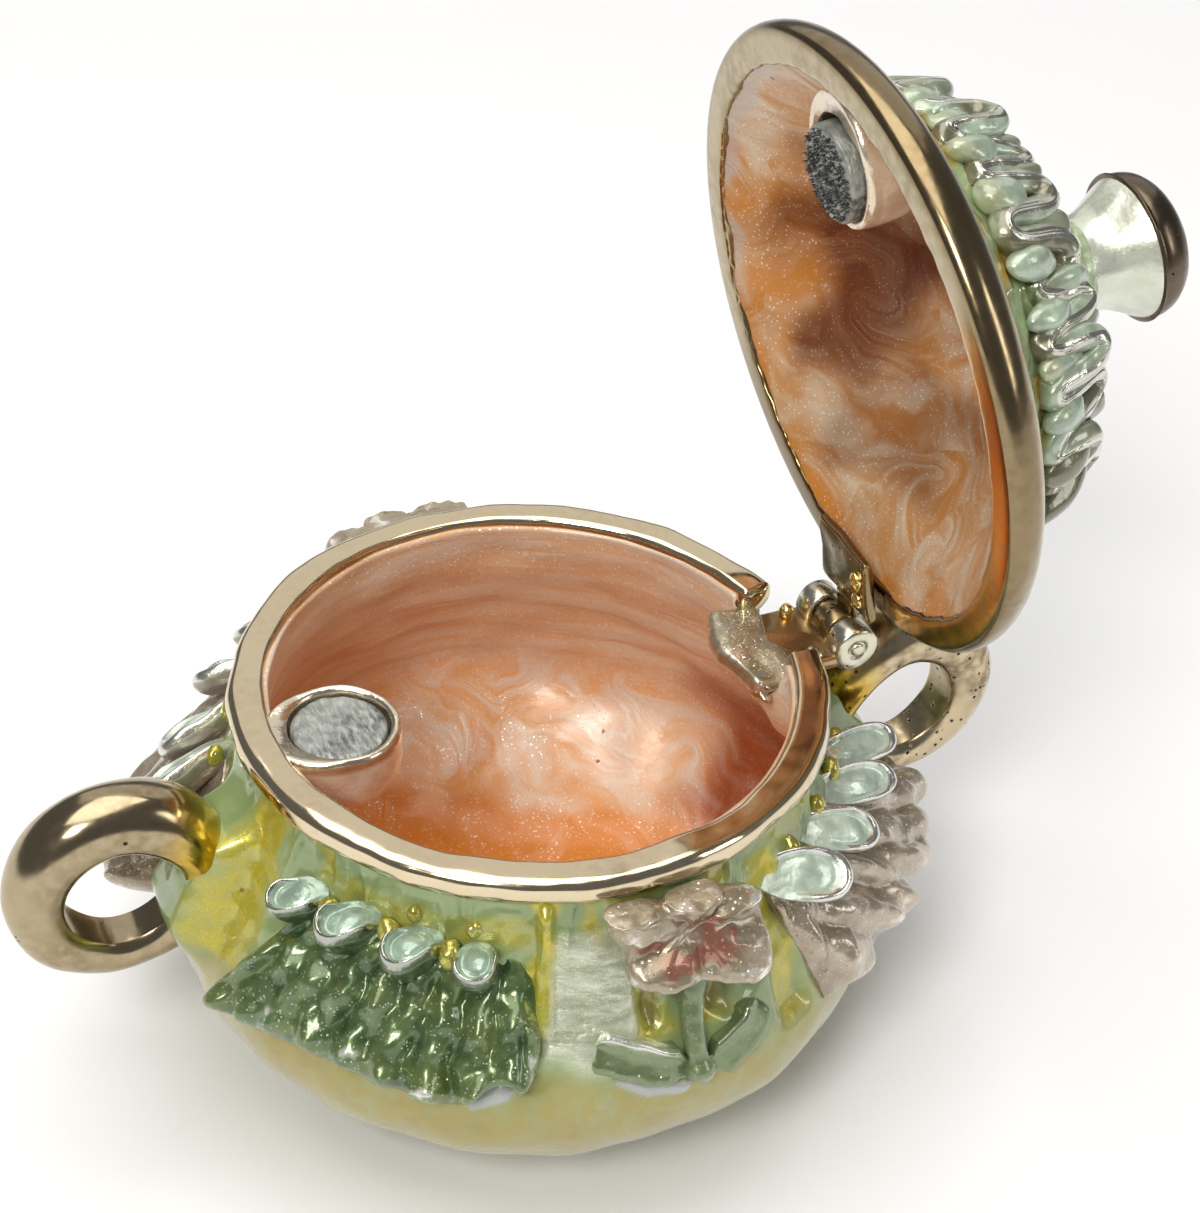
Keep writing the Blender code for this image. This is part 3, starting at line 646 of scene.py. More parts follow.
def makeBowlShell():
    # outer skin of the bowl with its low relief: ribs, grooves, threads, a raised pearl patch, gentle waves
    foot = np.stack([np.linspace(11.2, 0, 6), np.zeros(6)], 1)
    back = softLine([(0, 1.0), (10.0, 1.2), (18.0, 5.4), (22.4, 11.0), (21.0, 16.0), (18.2, 23.0),
                     (18.0, 26.2)], 14)
    turn = np.degrees(fullTurn(bowl["steps"]))
    depth = bowl["rimHeight"] - outerLine[:, 1][None]
    smooth = onBelly(turn, bellyArc[None], 0)
    drift, ripple = softNoise(smooth, 5.0, 2), softNoise(smooth, 1.7, 5)
    relief, yellow, pearl, drip, bare = (np.zeros(smooth.shape[:2]) for k in range(5))
    for half in (0, 180):
        for angle, wide, high, low, strength in bowl["bands"]:
            across = angleGap(turn, angle + half) + 1.2 * drift + 0.5 * ripple
            band = bump(depth, (high + low) / 2, (low - high) / 2 - 0.4, 0.9)
            yellow = np.maximum(yellow, bump(across, 0, wide * 0.5, wide * 0.9) * band * strength)
        rib = bump(angleGap(turn, 251 + half) + 0.3 * drift, 0, 0.6, 1.3) * bump(depth, 5.2, 4.6, 1.0)
        groove = bump(angleGap(turn, 207 + half), 0, 0.8, 1.6) * bump(depth, 2.6, 1.8, 1.0)
        patch = bump(angleGap(turn, 259.5 + half) + 0.8 * drift, 0, 5.6, 2.6)
        patch = patch * bump(depth + 0.5 * drift, 8.6, 3.4, 1.4)
        wedge = bump(angleGap(turn, 296 + half), 0, 2.4, 2.0) * bump(depth, 9.0, 4.5, 1.5)
        cheek = bump(angleGap(turn, half), 0, 5.2, 5.6) * bump(depth, 10.2, 2.4, 3.6)
        relief += 0.75 * rib - 0.5 * groove + 0.45 * patch - 0.5 * wedge + 2.7 * cheek
        drips = capsules(angleGap(turn, 250 + half) + 250, smooth[..., 2], bowl["drips"])
        drip = np.maximum(drip, ease(0.05, 0.5, drips))
        relief += 0.35 * drips
        # two pockets below the flower, either side of the stem: dented, and darkened through the bare mask
        # as painted shade
        pocket = 0
        for angle, deep, wide, tall in ((269.0, 9.8, 2.0, 1.2), (281.8, 10.2, 2.7, 1.2)):
            away = np.hypot(angleGap(turn, angle + half) / wide, (depth - deep) / tall) + 0.12 * ripple
            pocket = np.maximum(pocket, ease(1.25, 0.55, away))
        relief -= 0.5 * pocket
        bare = np.maximum(bare, 0.55 * pocket)
        for k, angle in enumerate(bowl["threads"]):
            long = 1.4 + 0.9 * math.sin(2.3 * k)
            lean = 0.6 * math.sin(1.7 * k)
            thread = bump(angleGap(turn, angle + half) + lean * depth, 0, 0.1, 0.75)
            relief += 0.22 * thread * bump(depth, 1.0 + long, long, 1.0)
        pearl = np.maximum(pearl, patch * ease(-0.9, 0.3, drift + 1.2))
    fine = softNoise(smooth, 2.2, 4) * ease(13.0, 10.0, depth) * (1 - 0.85 * pearl)
    relief += 0.14 * softNoise(smooth, 6.0, 3) + 0.08 * fine
    relief *= ease(0.0, 1.2, bellyArc)[None] * ease(bellyArc[-1], bellyArc[-1] - 3, bellyArc)[None]
    grid = np.concatenate([onBelly(turn, bellyArc[None], relief),
                           turned(np.vstack([foot, back]), bowl["steps"])], 1)
    grid = notchTop(grid, bowl["notchFloor"], bowl["notchHalf"])
    height = bowl["rimHeight"] - grid[..., 2]
    wavy = softNoise(grid, 9.0, 8)
    pad = ((0, 0), (0, len(foot) + len(back)))
    putSurface("bowlShell", grid, bodyEnamel, bowlEnamelled, "uv", yellow=np.pad(yellow, pad),
               pearl=np.pad(pearl, pad), ochre=ease(12.4, 15.4, height + 0.6 * wavy), drip=np.pad(drip, pad),
               bare=np.maximum(ease(25.4, 26.8, height + 0.5 * wavy), np.pad(bare, pad)))


def makeBowlLining():
    # inner skin with its own back, so that it is a closed bowl half a millimetre thick
    steps = 420
    line = softLine(bowl["inner"], 130)
    normals, height = lineFrame(line)[0], line[:, 1][None]
    back = backed(line, -0.6)
    grid = turned(line, steps)
    turn = fullTurn(steps)
    wall = ease(8.0, 16.0, height)
    ledge = 0.07 * np.sin(height * 1.9 + 1.4 * np.sin(turn + 1.0) + 0.7 * np.sin(3 * turn)) * wall
    # swelling under the hinge's leaf
    boss = bump(angleGap(np.degrees(turn), -3), 0, 8, 8) * bump(height, 23.4, 1.4, 2.4)
    push = ledge * ease(26, 23, height) + 1.2 * boss
    push = push + 0.14 * softNoise(grid, 6.0, 11) * ease(28.5, 25.0, height)
    grid = np.concatenate([grid + push[..., None] * turned(normals, steps), turned(back, steps)], 1)
    grid = notchTop(grid, bowl["notchFloor"], bowl["notchHalf"])
    x, y, z = np.moveaxis(grid, -1, 0)
    front, right = -0.43 * x - 0.90 * y, 0.90 * x - 0.43 * y + 1.2 * softNoise(grid, 8.0, 12)
    # shade: painted shadow of the open lid, dark red-brown on the wall on the hinge side
    shade = ease(9.5, 15.0, right) * ease(21.0, 14.0, z) * ease(-8.0, -12.0, front) * 0.95
    warm = ease(-15.6, -12.2, front + 0.8 * softNoise(grid, 5.0, 13)) * ease(13, 8, z) * (1 - shade)
    streaks = np.pad(wall, ((0, 0), (0, len(back))))
    putSurface("bowlLining", grid, peach, bowlEnamelled, wall=streaks, warm=warm, shade=shade)


rim = dict(section=[(17.15, 26.3), (17.12, 27.2), (17.22, 27.74), (17.48, 27.97), (17.9, 28.0), (18.6, 28.0),
                    (19.05, 27.93), (19.36, 27.7), (19.5, 27.3), (19.5, 26.7), (19.2, 26.2), (18.8, 25.9),
                    (18.0, 25.8)],
           gap=10.4, steps=620, rounding=0.35, wobble=0.60)


def makeBowlRim():
    # closed section carried round an arc, drawn in at rounded ends, a touch uneven as if polished by hand
    loop = softLine(rim["section"] + rim["section"][:1], 57)[:-1]
    turn = np.linspace(rim["gap"], 360 - rim["gap"], rim["steps"])
    fromEnd = np.minimum(turn - turn[0], turn[-1] - turn) * math.radians(1) * loop[:, 0].mean()
    size = np.sqrt(np.clip(1 - (1 - np.clip(fromEnd / rim["rounding"], 0, 1)) ** 2, 0, 1))
    away = loop - loop.mean(0)
    line = loop.mean(0) + away[None] * size[:, None, None]
    c, s = np.cos(np.radians(turn))[:, None], np.sin(np.radians(turn))[:, None]
    grid = xyz(line[..., 0] * c, line[..., 0] * s, line[..., 1])
    out = xyz(away[:, 0] * c, away[:, 0] * s, away[:, 1])
    uneven = 0.12 * rim["wobble"] * softNoise(grid, 7.0, 21) + 0.016 * softNoise(grid, 2.4, 24)
    putSurface("bowlRim", grid + (uneven * size[:, None])[..., None] * out, gold, bowlGilt, "v")


handle = dict(x=27.8, z=18.85, ring=5.35, tube=2.1, flat=0.70)


def makeHandle(side, finish):
    # ring whose section is a D: round outside, flat on the inside of the loop; thick at its upper root
    turn, roll = fullTurn(190), fullTurn(72).T
    up, away = np.sin(turn), np.cos(turn)    # away: 1 at the far side from the bowl
    tube = handle["tube"] * (1 + 0.10 * up - 0.10 * bump(turn, 4.3, 0.4, 0.9))
    c = np.cos(roll)
    floor = -handle["flat"]
    radial = tube * np.where(c < floor, floor - 0.10 * (floor - c), c)
    width = 1.04 * tube * np.sin(roll) * (1 + 0.22 * ease(0.2, -0.9, away) * ease(-0.2, 0.6, up))
    width = np.where(c < floor, width * (1 + 0.12 * ease(floor, floor - 0.1, c)), width)
    r = handle["ring"] + radial
    grid = xyz(side * (handle["x"] + r * away), width, handle["z"] + r * up)
    out = xyz(side * away, np.sin(roll), up)
    grid += 0.04 * softNoise(grid, 5.0, 31 + side)[..., None] * out
    putSurface("leftHandle" if side < 0 else "rightHandle", grid, finish, bowlGilt, "uv",
               golden=ease(0.35, 0.95, -away) * ease(-0.9, 0.4, up))


makeBowlShell()
makeBowlLining()
makeBowlRim()
# the left handle takes the darker gilt: painted dark reflection
makeHandle(-1, darkReflectionGold)
makeHandle(1, wornGold)
print("bowl, rim and handles made")

# raised decoration: each motif is made twice, half a turn apart

def lumpyPleats():
    # the dark fan: eight columns, each with a lump in its middle and one at its foot, none quite alike
    ridges = []
    for k in range(9):
        head, foot = 205.0 + 5.1 * k, 195.2 + 6.35 * k + 0.9 * math.sin(2.1 * k)
        low = 14.6 - 0.5 * math.sin(1.3 * k + 0.5) - (1.4 if k == 0 else 0)
        ridges.append((head, 21.0, foot, low, 0.9, 1.15, 0.95))
        for share, size, tall in ((0.42 + 0.10 * math.sin(3.1 * k), 1.3, 0.95), (0.93, 1.4, 1.30)):
            a, z = head + (foot - head) * share, 21.0 + (low - 21.0) * share
            tall *= 1 + 0.14 * math.sin(5.3 * k + 9 * share)
            ridges.append((a - 0.8, z + 0.5, a + 0.5, z - 0.2, size * 0.85, size, tall))
    return ridges


# a fan: its top and foot as angle and height, how far its foot stands off by angle, and its ridges
fan = dict(
    dark=dict(top=[(204.0, 20.6), (212, 21.6), (226, 22.0), (240, 22.2), (247.4, 21.8)],
              foot=[(191.6, 12.1), (201, 12.5), (213, 13.5), (226, 13.6), (238, 13.2), (242.4, 14.5),
                    (245.6, 15.0), (247.2, 14.2), (248.6, 14.3)],
              stand=[(190, 0.35), (205, 0.8), (225, 1.0), (250, 0.9)], rightBulge=2.6, side=0.045, rows=1.9,
              wave=0.12, grain=0.14, soften=11, seed=5, curl=0.7, ridges=lumpyPleats()),
    pearl=dict(top=[(297.2, 21.6), (306, 21.8), (320, 22.0), (336, 22.0), (351.5, 20.5)],
               foot=[(302.8, 12.9), (306, 12.5), (313, 11.9), (319, 12.5), (325, 12.0), (330, 12.4),
                     (334, 12.1), (337.5, 12.5), (341, 12.1), (344.5, 12.5), (348.5, 12.2), (352.0, 13.2)],
               stand=[(298, 0.3), (305, 0.5), (312, 0.9), (324, 1.9), (334, 2.8), (341, 3.2), (348, 3.8),
                      (353, 3.9)],
               rightBulge=0.6, side=0.05, rows=1.7, wave=0.30, grain=0.06, soften=5, seed=9, curl=0.0,
               ridges=[(298.5, 19.6, 311.5, 13.3, 1.0, 1.8, 1.1), (303.5, 19.4, 324.5, 13.2, 0.9, 1.8, 1.25),
                       (311.0, 20.6, 334.0, 13.3, 0.9, 1.45, 1.25),
                       (320.0, 20.8, 341.0, 13.3, 0.9, 1.35, 1.2),
                       (329.0, 21.0, 348.5, 13.4, 0.9, 1.4, 1.25)]))


def sideName(name, turn):
    return name + ("Front" if turn == 0 else "Back")


def roundEnd(share, start):
    # 1 until the start, then down to 0 at the end of the share as a quarter of a circle
    return np.sqrt(np.clip(1 - ((share - start) / (1 - start)).clip(0, 1) ** 2, 0, 1))


def makeFan(kind, turn, finish):
    # blanket over the belly that rolls under at its foot and sides, with its ridges and a little unevenness
    f = fan[kind]
    columns, rows = 330, 110
    u, v = np.linspace(0, 1, columns)[:, None], np.linspace(0, 1, rows)[None]
    top, foot = softLine(f["top"], columns)[:, None], softLine(f["foot"], columns)[:, None]
    angle = top[..., 0] + (foot[..., 0] - top[..., 0]) * v + f["rightBulge"] * np.sin(math.pi * v) * u ** 4
    height = top[..., 1] + (foot[..., 1] - top[..., 1]) * v
    stand = np.interp(angle, *np.array(f["stand"]).T) * ease(-0.05, 0.8, v)
    ridge = capsules(angle, height, f["ridges"])
    wave = f["wave"] * np.sin(2 * math.pi * (f["rows"] * v + 1.3 * np.sin(7 * u))) * ease(0, 0.3, ridge)
    smooth = belly(angle + turn, height, 0)
    rough = softNoise(smooth, 2.0, f["seed"]) + 0.4 * softNoise(smooth, 0.9, f["seed"] + 1)
    fall = roundEnd(v, 0.86) * roundEnd(1 - np.minimum(u, 1 - u), 1 - f["side"])
    lift = stand + ridge + wave + f["grain"] * rough
    for step in range(f["soften"]):    # each pass shares the height with the four neighbours
        lift[1:-1] = (lift[:-2] + 2 * lift[1:-1] + lift[2:]) / 4
        lift[:, 1:-1] = (lift[:, :-2] + 2 * lift[:, 1:-1] + lift[:, 2:]) / 4
    curl = f["curl"] * bump(angle, 249.2, 0.5, 1.4) * bump(height, 16.6, 1.4, 1.0)
    back = belly(angle[:, ::-1] + turn, height[:, ::-1], -0.8)[:, ::8]
    grid = np.concatenate([belly(angle + turn, height, (lift + curl) * fall), back], 1)
    # level: lighter on the ridges and darker in the folds, painted highlight and painted shade; the curled
    # end is full bright
    level = np.clip(ridge * 0.62 + 0.22 * rough - 0.08, 0, 1)
    level = np.maximum(level, curl / max(f["curl"], 0.1))
    putSurface(sideName(kind + "Fan", turn), grid, finish, bowlEnamelled, "v", "u",
               ridge=np.pad(level, ((0, 0), (0, grid.shape[1] - rows))))


# profile of a curled petal as shares of its width and depth: pool of enamel, raised lip, bulging underside
podProfile = [(0, 0.26), (0.42, 0.22), (0.70, 0.16), (0.84, 0.30), (0.96, 0.40), (1.08, 0.26), (1.10, -0.10),
              (0.92, -0.60), (0.52, -0.92), (0, -1.0)]
# petals: root and tip as angle, height and stand-off; half width; depth; which way the pool faces
pods = dict(
    dark=[((208.6, 22.9, 0.2), (201.2, 21.0, 1.9), 1.10, 2.2, (0.10, 0.93, 0.34)),
          ((220.4, 23.0, 0.2), (212.8, 21.6, 2.5), 1.20, 2.9, (0.15, 0.94, 0.26)),
          ((232.2, 23.0, 0.2), (225.0, 21.5, 2.4), 1.20, 2.9, (0.05, 0.94, 0.30)),
          ((240.4, 22.9, 0.2), (238.6, 21.2, 2.2), 1.20, 2.3, (0.0, 0.88, 0.45))],
    pearl=[((297.6, 22.6, -0.6), (308.4, 20.6, 3.3), 1.60, 1.5, (-0.45, 0.85, 0.30)),
           ((312.4, 22.8, -0.5), (321.2, 20.0, 3.4), 1.30, 1.6, (-0.50, 0.84, 0.25)),
           ((325.0, 22.5, -0.5), (336.4, 18.9, 3.7), 1.25, 1.6, (-0.52, 0.84, 0.20)),
           ((337.0, 22.0, -0.3), (346.6, 18.3, 4.4), 1.20, 1.6, (-0.52, 0.84, 0.20))])
# beads between the petals: angle, height, stand-off and size
beads = dict(dark=[(223.4, 22.7, 0.8, 0.72), (227.0, 24.0, 0.1, 0.50), (234.6, 22.3, 0.8, 0.72),
                   (211.0, 22.3, 0.7, 0.60), (238.0, 23.6, 0.0, 0.45)],
             pearl=[(306.0, 23.0, 0.1, 0.65), (318.8, 23.0, 0.2, 0.70), (331.2, 22.4, 0.4, 0.70),
                    (342.5, 21.6, 0.8, 0.6)])


def makePods(kind, turn, finish):
    # oval dishes that hang off the belly, broader and blunter at the tip
    line = softLine(podProfile, 46)
    p = fullTurn(84)
    r, h = np.maximum(line[:, 0], 0)[None], line[:, 1][None]
    grids, lips = [], []
    for k, (root, tip, wide, deep, face) in enumerate(pods[kind]):
        start, end = (belly(place[0] + turn, place[1], place[2]) for place in (root, tip))
        way = math.radians((root[0] + tip[0]) / 2 + turn)
        axes = np.array([(-math.sin(way), math.cos(way), 0), (0, 0, 1), (math.cos(way), math.sin(way), 0)])
        along = (end - start) / 2
        normal = np.array(face) @ axes
        normal -= along * (normal @ along) / (along @ along)
        normal /= np.linalg.norm(normal)
        across = np.cross(normal, along / np.linalg.norm(along))
        blunt = np.sign(np.cos(p)) * np.abs(np.cos(p)) ** 0.85
        girth = wide * (1 + 0.16 * np.cos(p)) * np.sin(p)
        dip = 0.28 * wide * np.cos(p) ** 2 * r ** 2
        grid = (start + end) / 2 + (r * blunt)[..., None] * along + (r * girth)[..., None] * across
        low = ease(-0.85, 0.1, np.cos(p) + 0.5 * np.sin(p))
        lips.append(low + 0 * r)
        lift = np.where((r > 0.72) & (h > 0), 0.14 + (h - 0.14) * low, h)
        grid = grid + (lift * deep - dip)[..., None] * normal
        grids.append(grid + 0.12 * softNoise(grid, 3.6, 52 + k)[..., None] * normal)
    grids = np.stack(grids)
    share = np.linspace(0, 1, 46) + 0.012 * softNoise(grids, 1.8, 58)
    edge = bump(share, 0.37, 0.07, 0.05) * (0.35 + 0.65 * np.stack(lips))
    putSurface(sideName(kind + "Ruffle", turn), grids, finish, bowlEnamelled, edge=edge,
               under=ease(0.43, 0.50, share))
    drops = [blob(belly(angle + turn, height, out), (size, size, size * 1.25), 140 + k, 0.12, 20)
             for k, (angle, height, out, size) in enumerate(beads[kind])]
    putSurface(sideName(kind + "Beads", turn), np.stack(drops), beadFinish, bowlEnamelled, ridge=0.5)


# the flower: where it sits, the belly's radius there (its girth), the folds between its petals and the reach
# of its edge, by direction in degrees clockwise from up
flower = dict(centre=275.7, height=23.5, lift=1.7, thick=1.9, girth=21.5, folds=[-104, -34, 46, 103, 176],
              edge=[(-180, 3.9), (-163, 3.9), (-150, 4.45), (-133, 5.0), (-118, 5.1), (-100, 4.55),
                    (-84, 5.1), (-70, 6.0), (-58, 6.7), (-47, 5.6), (-34, 3.6), (-14, 4.2), (2, 4.8),
                    (14, 4.7), (30, 3.9), (46, 3.2), (62, 4.1), (82, 5.3), (102, 5.3), (118, 5.8),
                    (134, 6.6), (145, 6.7), (157, 5.5), (168, 4.3)])
stem = dict(line=[(276.6, 19.8), (275.4, 17.6), (274.9, 15.6), (275.1, 13.4)], radius=0.80, girth=22.5)
# leaves: places along the middle as angle and height, half width, how far it stands off
leaves = [dict(line=[(273.6, 14.3), (269.0, 15.0), (264.0, 15.8), (258.4, 16.7)], wide=1.25, rise=1.15,
               flip=1, bright=1.0),
          dict(line=[(277.0, 14.0), (281.0, 14.5), (285.5, 15.2), (288.0, 16.4)], wide=1.30, rise=1.00,
               flip=-1, bright=0.25)]
leafSection = [(-1.0, -0.45), (-1.04, 0.25), (-0.80, 0.62), (-0.30, 0.60), (0.25, 0.62), (0.58, 0.86),
               (0.80, 1.10), (1.0, 0.92), (1.04, 0.35), (1.0, -0.45)]


def makeFlower(turn):
    # cushioned slab with a petalled outline: each petal is puffed between two folds and its edge rolls over
    f = flower
    way = np.linspace(-180, 180, 264, endpoint=False)[:, None]
    knots = np.array(f["edge"], float)
    around = np.vstack([knots - (360, 0), knots, knots + (360, 0)])
    fine = softLine(around, 2400)
    reach = np.interp(way, fine[:, 0], fine[:, 1])
    rise = np.append(np.linspace(0, 0.86, 40), 0.86 + 0.14 * np.sin(np.linspace(0.12, math.pi / 2, 12)))
    share = np.concatenate([rise, rise[::-1][1::4]])[None]
    upper = (np.arange(share.shape[1]) < len(rise))[None]
    nearest = np.min([np.abs(angleGap(way, fold)) for fold in f["folds"]], 0)
    puff = ease(0, 26, nearest)
    length = share * reach
    x, y = length * np.sin(np.radians(way)), length * np.cos(np.radians(way))
    pillow = (0.75 * puff - 0.35) * bump(length, 0.72 * reach, 0.16 * reach, 0.42 * reach)
    hollow = -0.55 * np.exp(-(length / 1.6) ** 2)
    edge = roundEnd(share, 0.80)
    slant, middle = x * 0.45 - y + 0.2, bump(x, -0.5, 1.3, 0.5)
    scratch = 0.18 * bump(slant, 0, 0.05, 0.28) * middle
    level = (np.where(upper, 1, -1) * f["thick"] / 2 + np.where(upper, pillow + hollow + scratch, 0)) * edge
    angle = f["centre"] + turn + np.degrees(x / f["girth"])
    up = 1.1 if turn else 0.0    # the one at the back was set a little higher
    grid = belly(angle, f["height"] + up + 0.92 * y, f["lift"] + 0.4 * up + 0.12 * np.clip(-y, 0, 9) + level)
    grid += 0.07 * softNoise(grid, 1.3, 61)[..., None] * edge[..., None] * upper[..., None]
    uneven = softNoise(grid, 1.4, 62)
    blush = np.maximum(bump(x + 0.3 * uneven, -0.2, 1.6, 1.5) * bump(y + 0.25 * uneven, -1.9, 0.25, 0.8),
                       bump(x + 0.5 * y + 0.3 * uneven, 0.7, 0.5, 1.0) * bump(y, -0.3, 1.3, 1.3))
    spot = bump(x - 0.2 * y, -3.0, 0.6, 0.7) * bump(y + 0.2 * uneven, -0.1, 0.2, 0.6)
    blush = np.maximum(blush, spot) * upper * (1 - 0.9 * (scratch > 0.06))
    # ridge: the puffed outer part of each petal is painted lighter and the folds and the middle darker,
    # painted highlight and painted shade; the raised scratch is lighter as well
    ridge = ((0.25 + 0.75 * puff) * ease(0.45, 0.80, share) + bump(slant, 0, 0.05, 0.25) * middle) * upper
    putSurface(sideName("flower", turn), grid, flowerPearl, bowlEnamelled, cap="v",
               ridge=np.clip(ridge, 0, 1), blush=blush)


def makeStem(turn):
    # rod down the belly, flared under the flower, with a round bulb at its foot
    s = np.linspace(0, 1, 80)[:, None]
    roll = fullTurn(32).T
    shape = 1 + 0.45 * ease(0.35, 0.0, s) + 0.22 * bump(s, 0.90, 0.03, 0.10) - 0.10 * bump(s, 0.6, 0.1, 0.2)
    radius = stem["radius"] * shape * roundEnd(s, 0.90)
    line = softLine(stem["line"], 80)
    across = radius * np.cos(roll)
    grid = belly(line[:, :1] + turn + np.degrees(across / stem["girth"]), line[:, 1:],
                 0.45 + radius * np.sin(roll) * 1.1)
    grid += 0.05 * softNoise(grid, 1.4, 63)[..., None]
    # the ridge mask lightens one side of the rod and darkens the other: painted light and shade
    putSurface(sideName("stem", turn), grid, stemGreen, bowlEnamelled, "v", "u",
               ridge=0.45 + 0.25 * np.sin(roll + 0.6))


def makeLeaf(number, turn):
    # trough along a bent middle line: flat face, raised edge on its upper side, lit by a painted highlight
    l = leaves[number]
    s = np.linspace(0, 1, 90)[:, None]
    loop = softLine(leafSection + leafSection[:1], 49)[:-1]
    middle = softLine(l["line"], 90)
    slope = np.gradient(middle * (perDegree, 1), axis=0)
    slope /= np.linalg.norm(slope, axis=1)[:, None]
    side = np.stack([slope[:, 1], -slope[:, 0]], 1) * l["flip"]
    shape = np.clip(s / 0.2, 0.35, 1) ** 0.6 * roundEnd(s, 0.89)
    across = l["wide"] * shape * loop[:, 0][None]
    angle = middle[:, :1] + side[:, :1] * across / perDegree
    rise = l["rise"] * (0.25 + 0.75 * shape) * loop[:, 1][None]
    grid = belly(angle + turn, middle[:, 1:] + side[:, 1:] * across, rise)
    grid += 0.035 * softNoise(grid, 1.6, 64)[..., None]
    # ridge: painted highlight along the raised edge, strong on the first leaf and faint on the second
    ridge = l["bright"] * ease(0.50, 0.75, loop[:, 0])[None] * ease(0.12, 0.35, s)
    putSurface(sideName("leaf" + str(number + 1), turn), grid, leafGreen, bowlEnamelled, "v", "u",
               ridge=ridge)


def blob(centre, size, seed, wobble=0.12, steps=44):
    # rounded lump: an uneven ellipsoid, closed at its poles
    t = np.linspace(0, math.pi, steps)[None]
    p = fullTurn(2 * steps)
    unit = xyz(np.sin(t) * np.cos(p), np.sin(t) * np.sin(p), np.cos(t))
    grow = 1 + wobble * softNoise(unit, 2.2, seed)
    return np.array(centre) + unit * grow[..., None] * np.array(size)


for turn in (0, 180):
    makeFan("dark", turn, darkGreen)
    makeFan("pearl", turn, mauve)
    makePods("dark", turn, mintOnGreen)
    makePods("pearl", turn, mint)
    makeFlower(turn)
    makeStem(turn)
    makeLeaf(0, turn)
    makeLeaf(1, turn)
print("fans, ruffles and flowers made")

# the hinge and the magnets

def leafSlab(low, high, rounding, wobble, seed, steps=70):
    # block with softly rounded edges: a superellipse section carried along Y, drawn in at both ends
    low, high = np.array(low, float), np.array(high, float)
    half, middle = (high - low) / 2, (high + low) / 2
    s = np.linspace(-1, 1, steps)[:, None]
    roll = fullTurn(72).T
    end = np.clip((1 - np.abs(s)) * half[1] / rounding, 0, 1)
    inset = rounding * (1 - np.sqrt(np.clip(1 - (1 - end) ** 2, 0, 1)))
    c, d = np.cos(roll), np.sin(roll)
    x = (half[0] - inset) * np.sign(c) * np.abs(c) ** 0.35
    z = (half[2] - np.minimum(inset, half[2] * 0.96)) * np.sign(d) * np.abs(d) ** 0.55
    grid = xyz(middle[0] + x, middle[1] + half[1] * s, middle[2] + z)
    return grid + wobble * softNoise(grid, 3.4, seed)[..., None] * np.array([0.3, 0.3, 1.0])


def knuckle(start, end, size=1.0):
    # rolled barrel with rounded end edges and a grooved end face
    r = hinge["knuckle"] * size
    length = end - start
    face = [(0.0, 0.06), (0.35, 0.06), (0.50, 0.10), (0.60, 0.16), (0.66, 0.02), (0.95, 0.0),
            (r - 0.12, 0.03), (r, 0.16)]
    line = np.array(face + [(a, length - b) for a, b in face[::-1]])
    roll = fullTurn(72)
    a, b = line[:, 0][None], line[:, 1][None]
    a = a * (1 + 0.16 * np.clip(np.cos(roll + 2.2), 0, 1) ** 3 * (a > 0.7))    # drawn out towards the leaf
    return xyz(hinge["x"] + a * np.cos(roll), start + b, hinge["z"] + a * np.sin(roll))


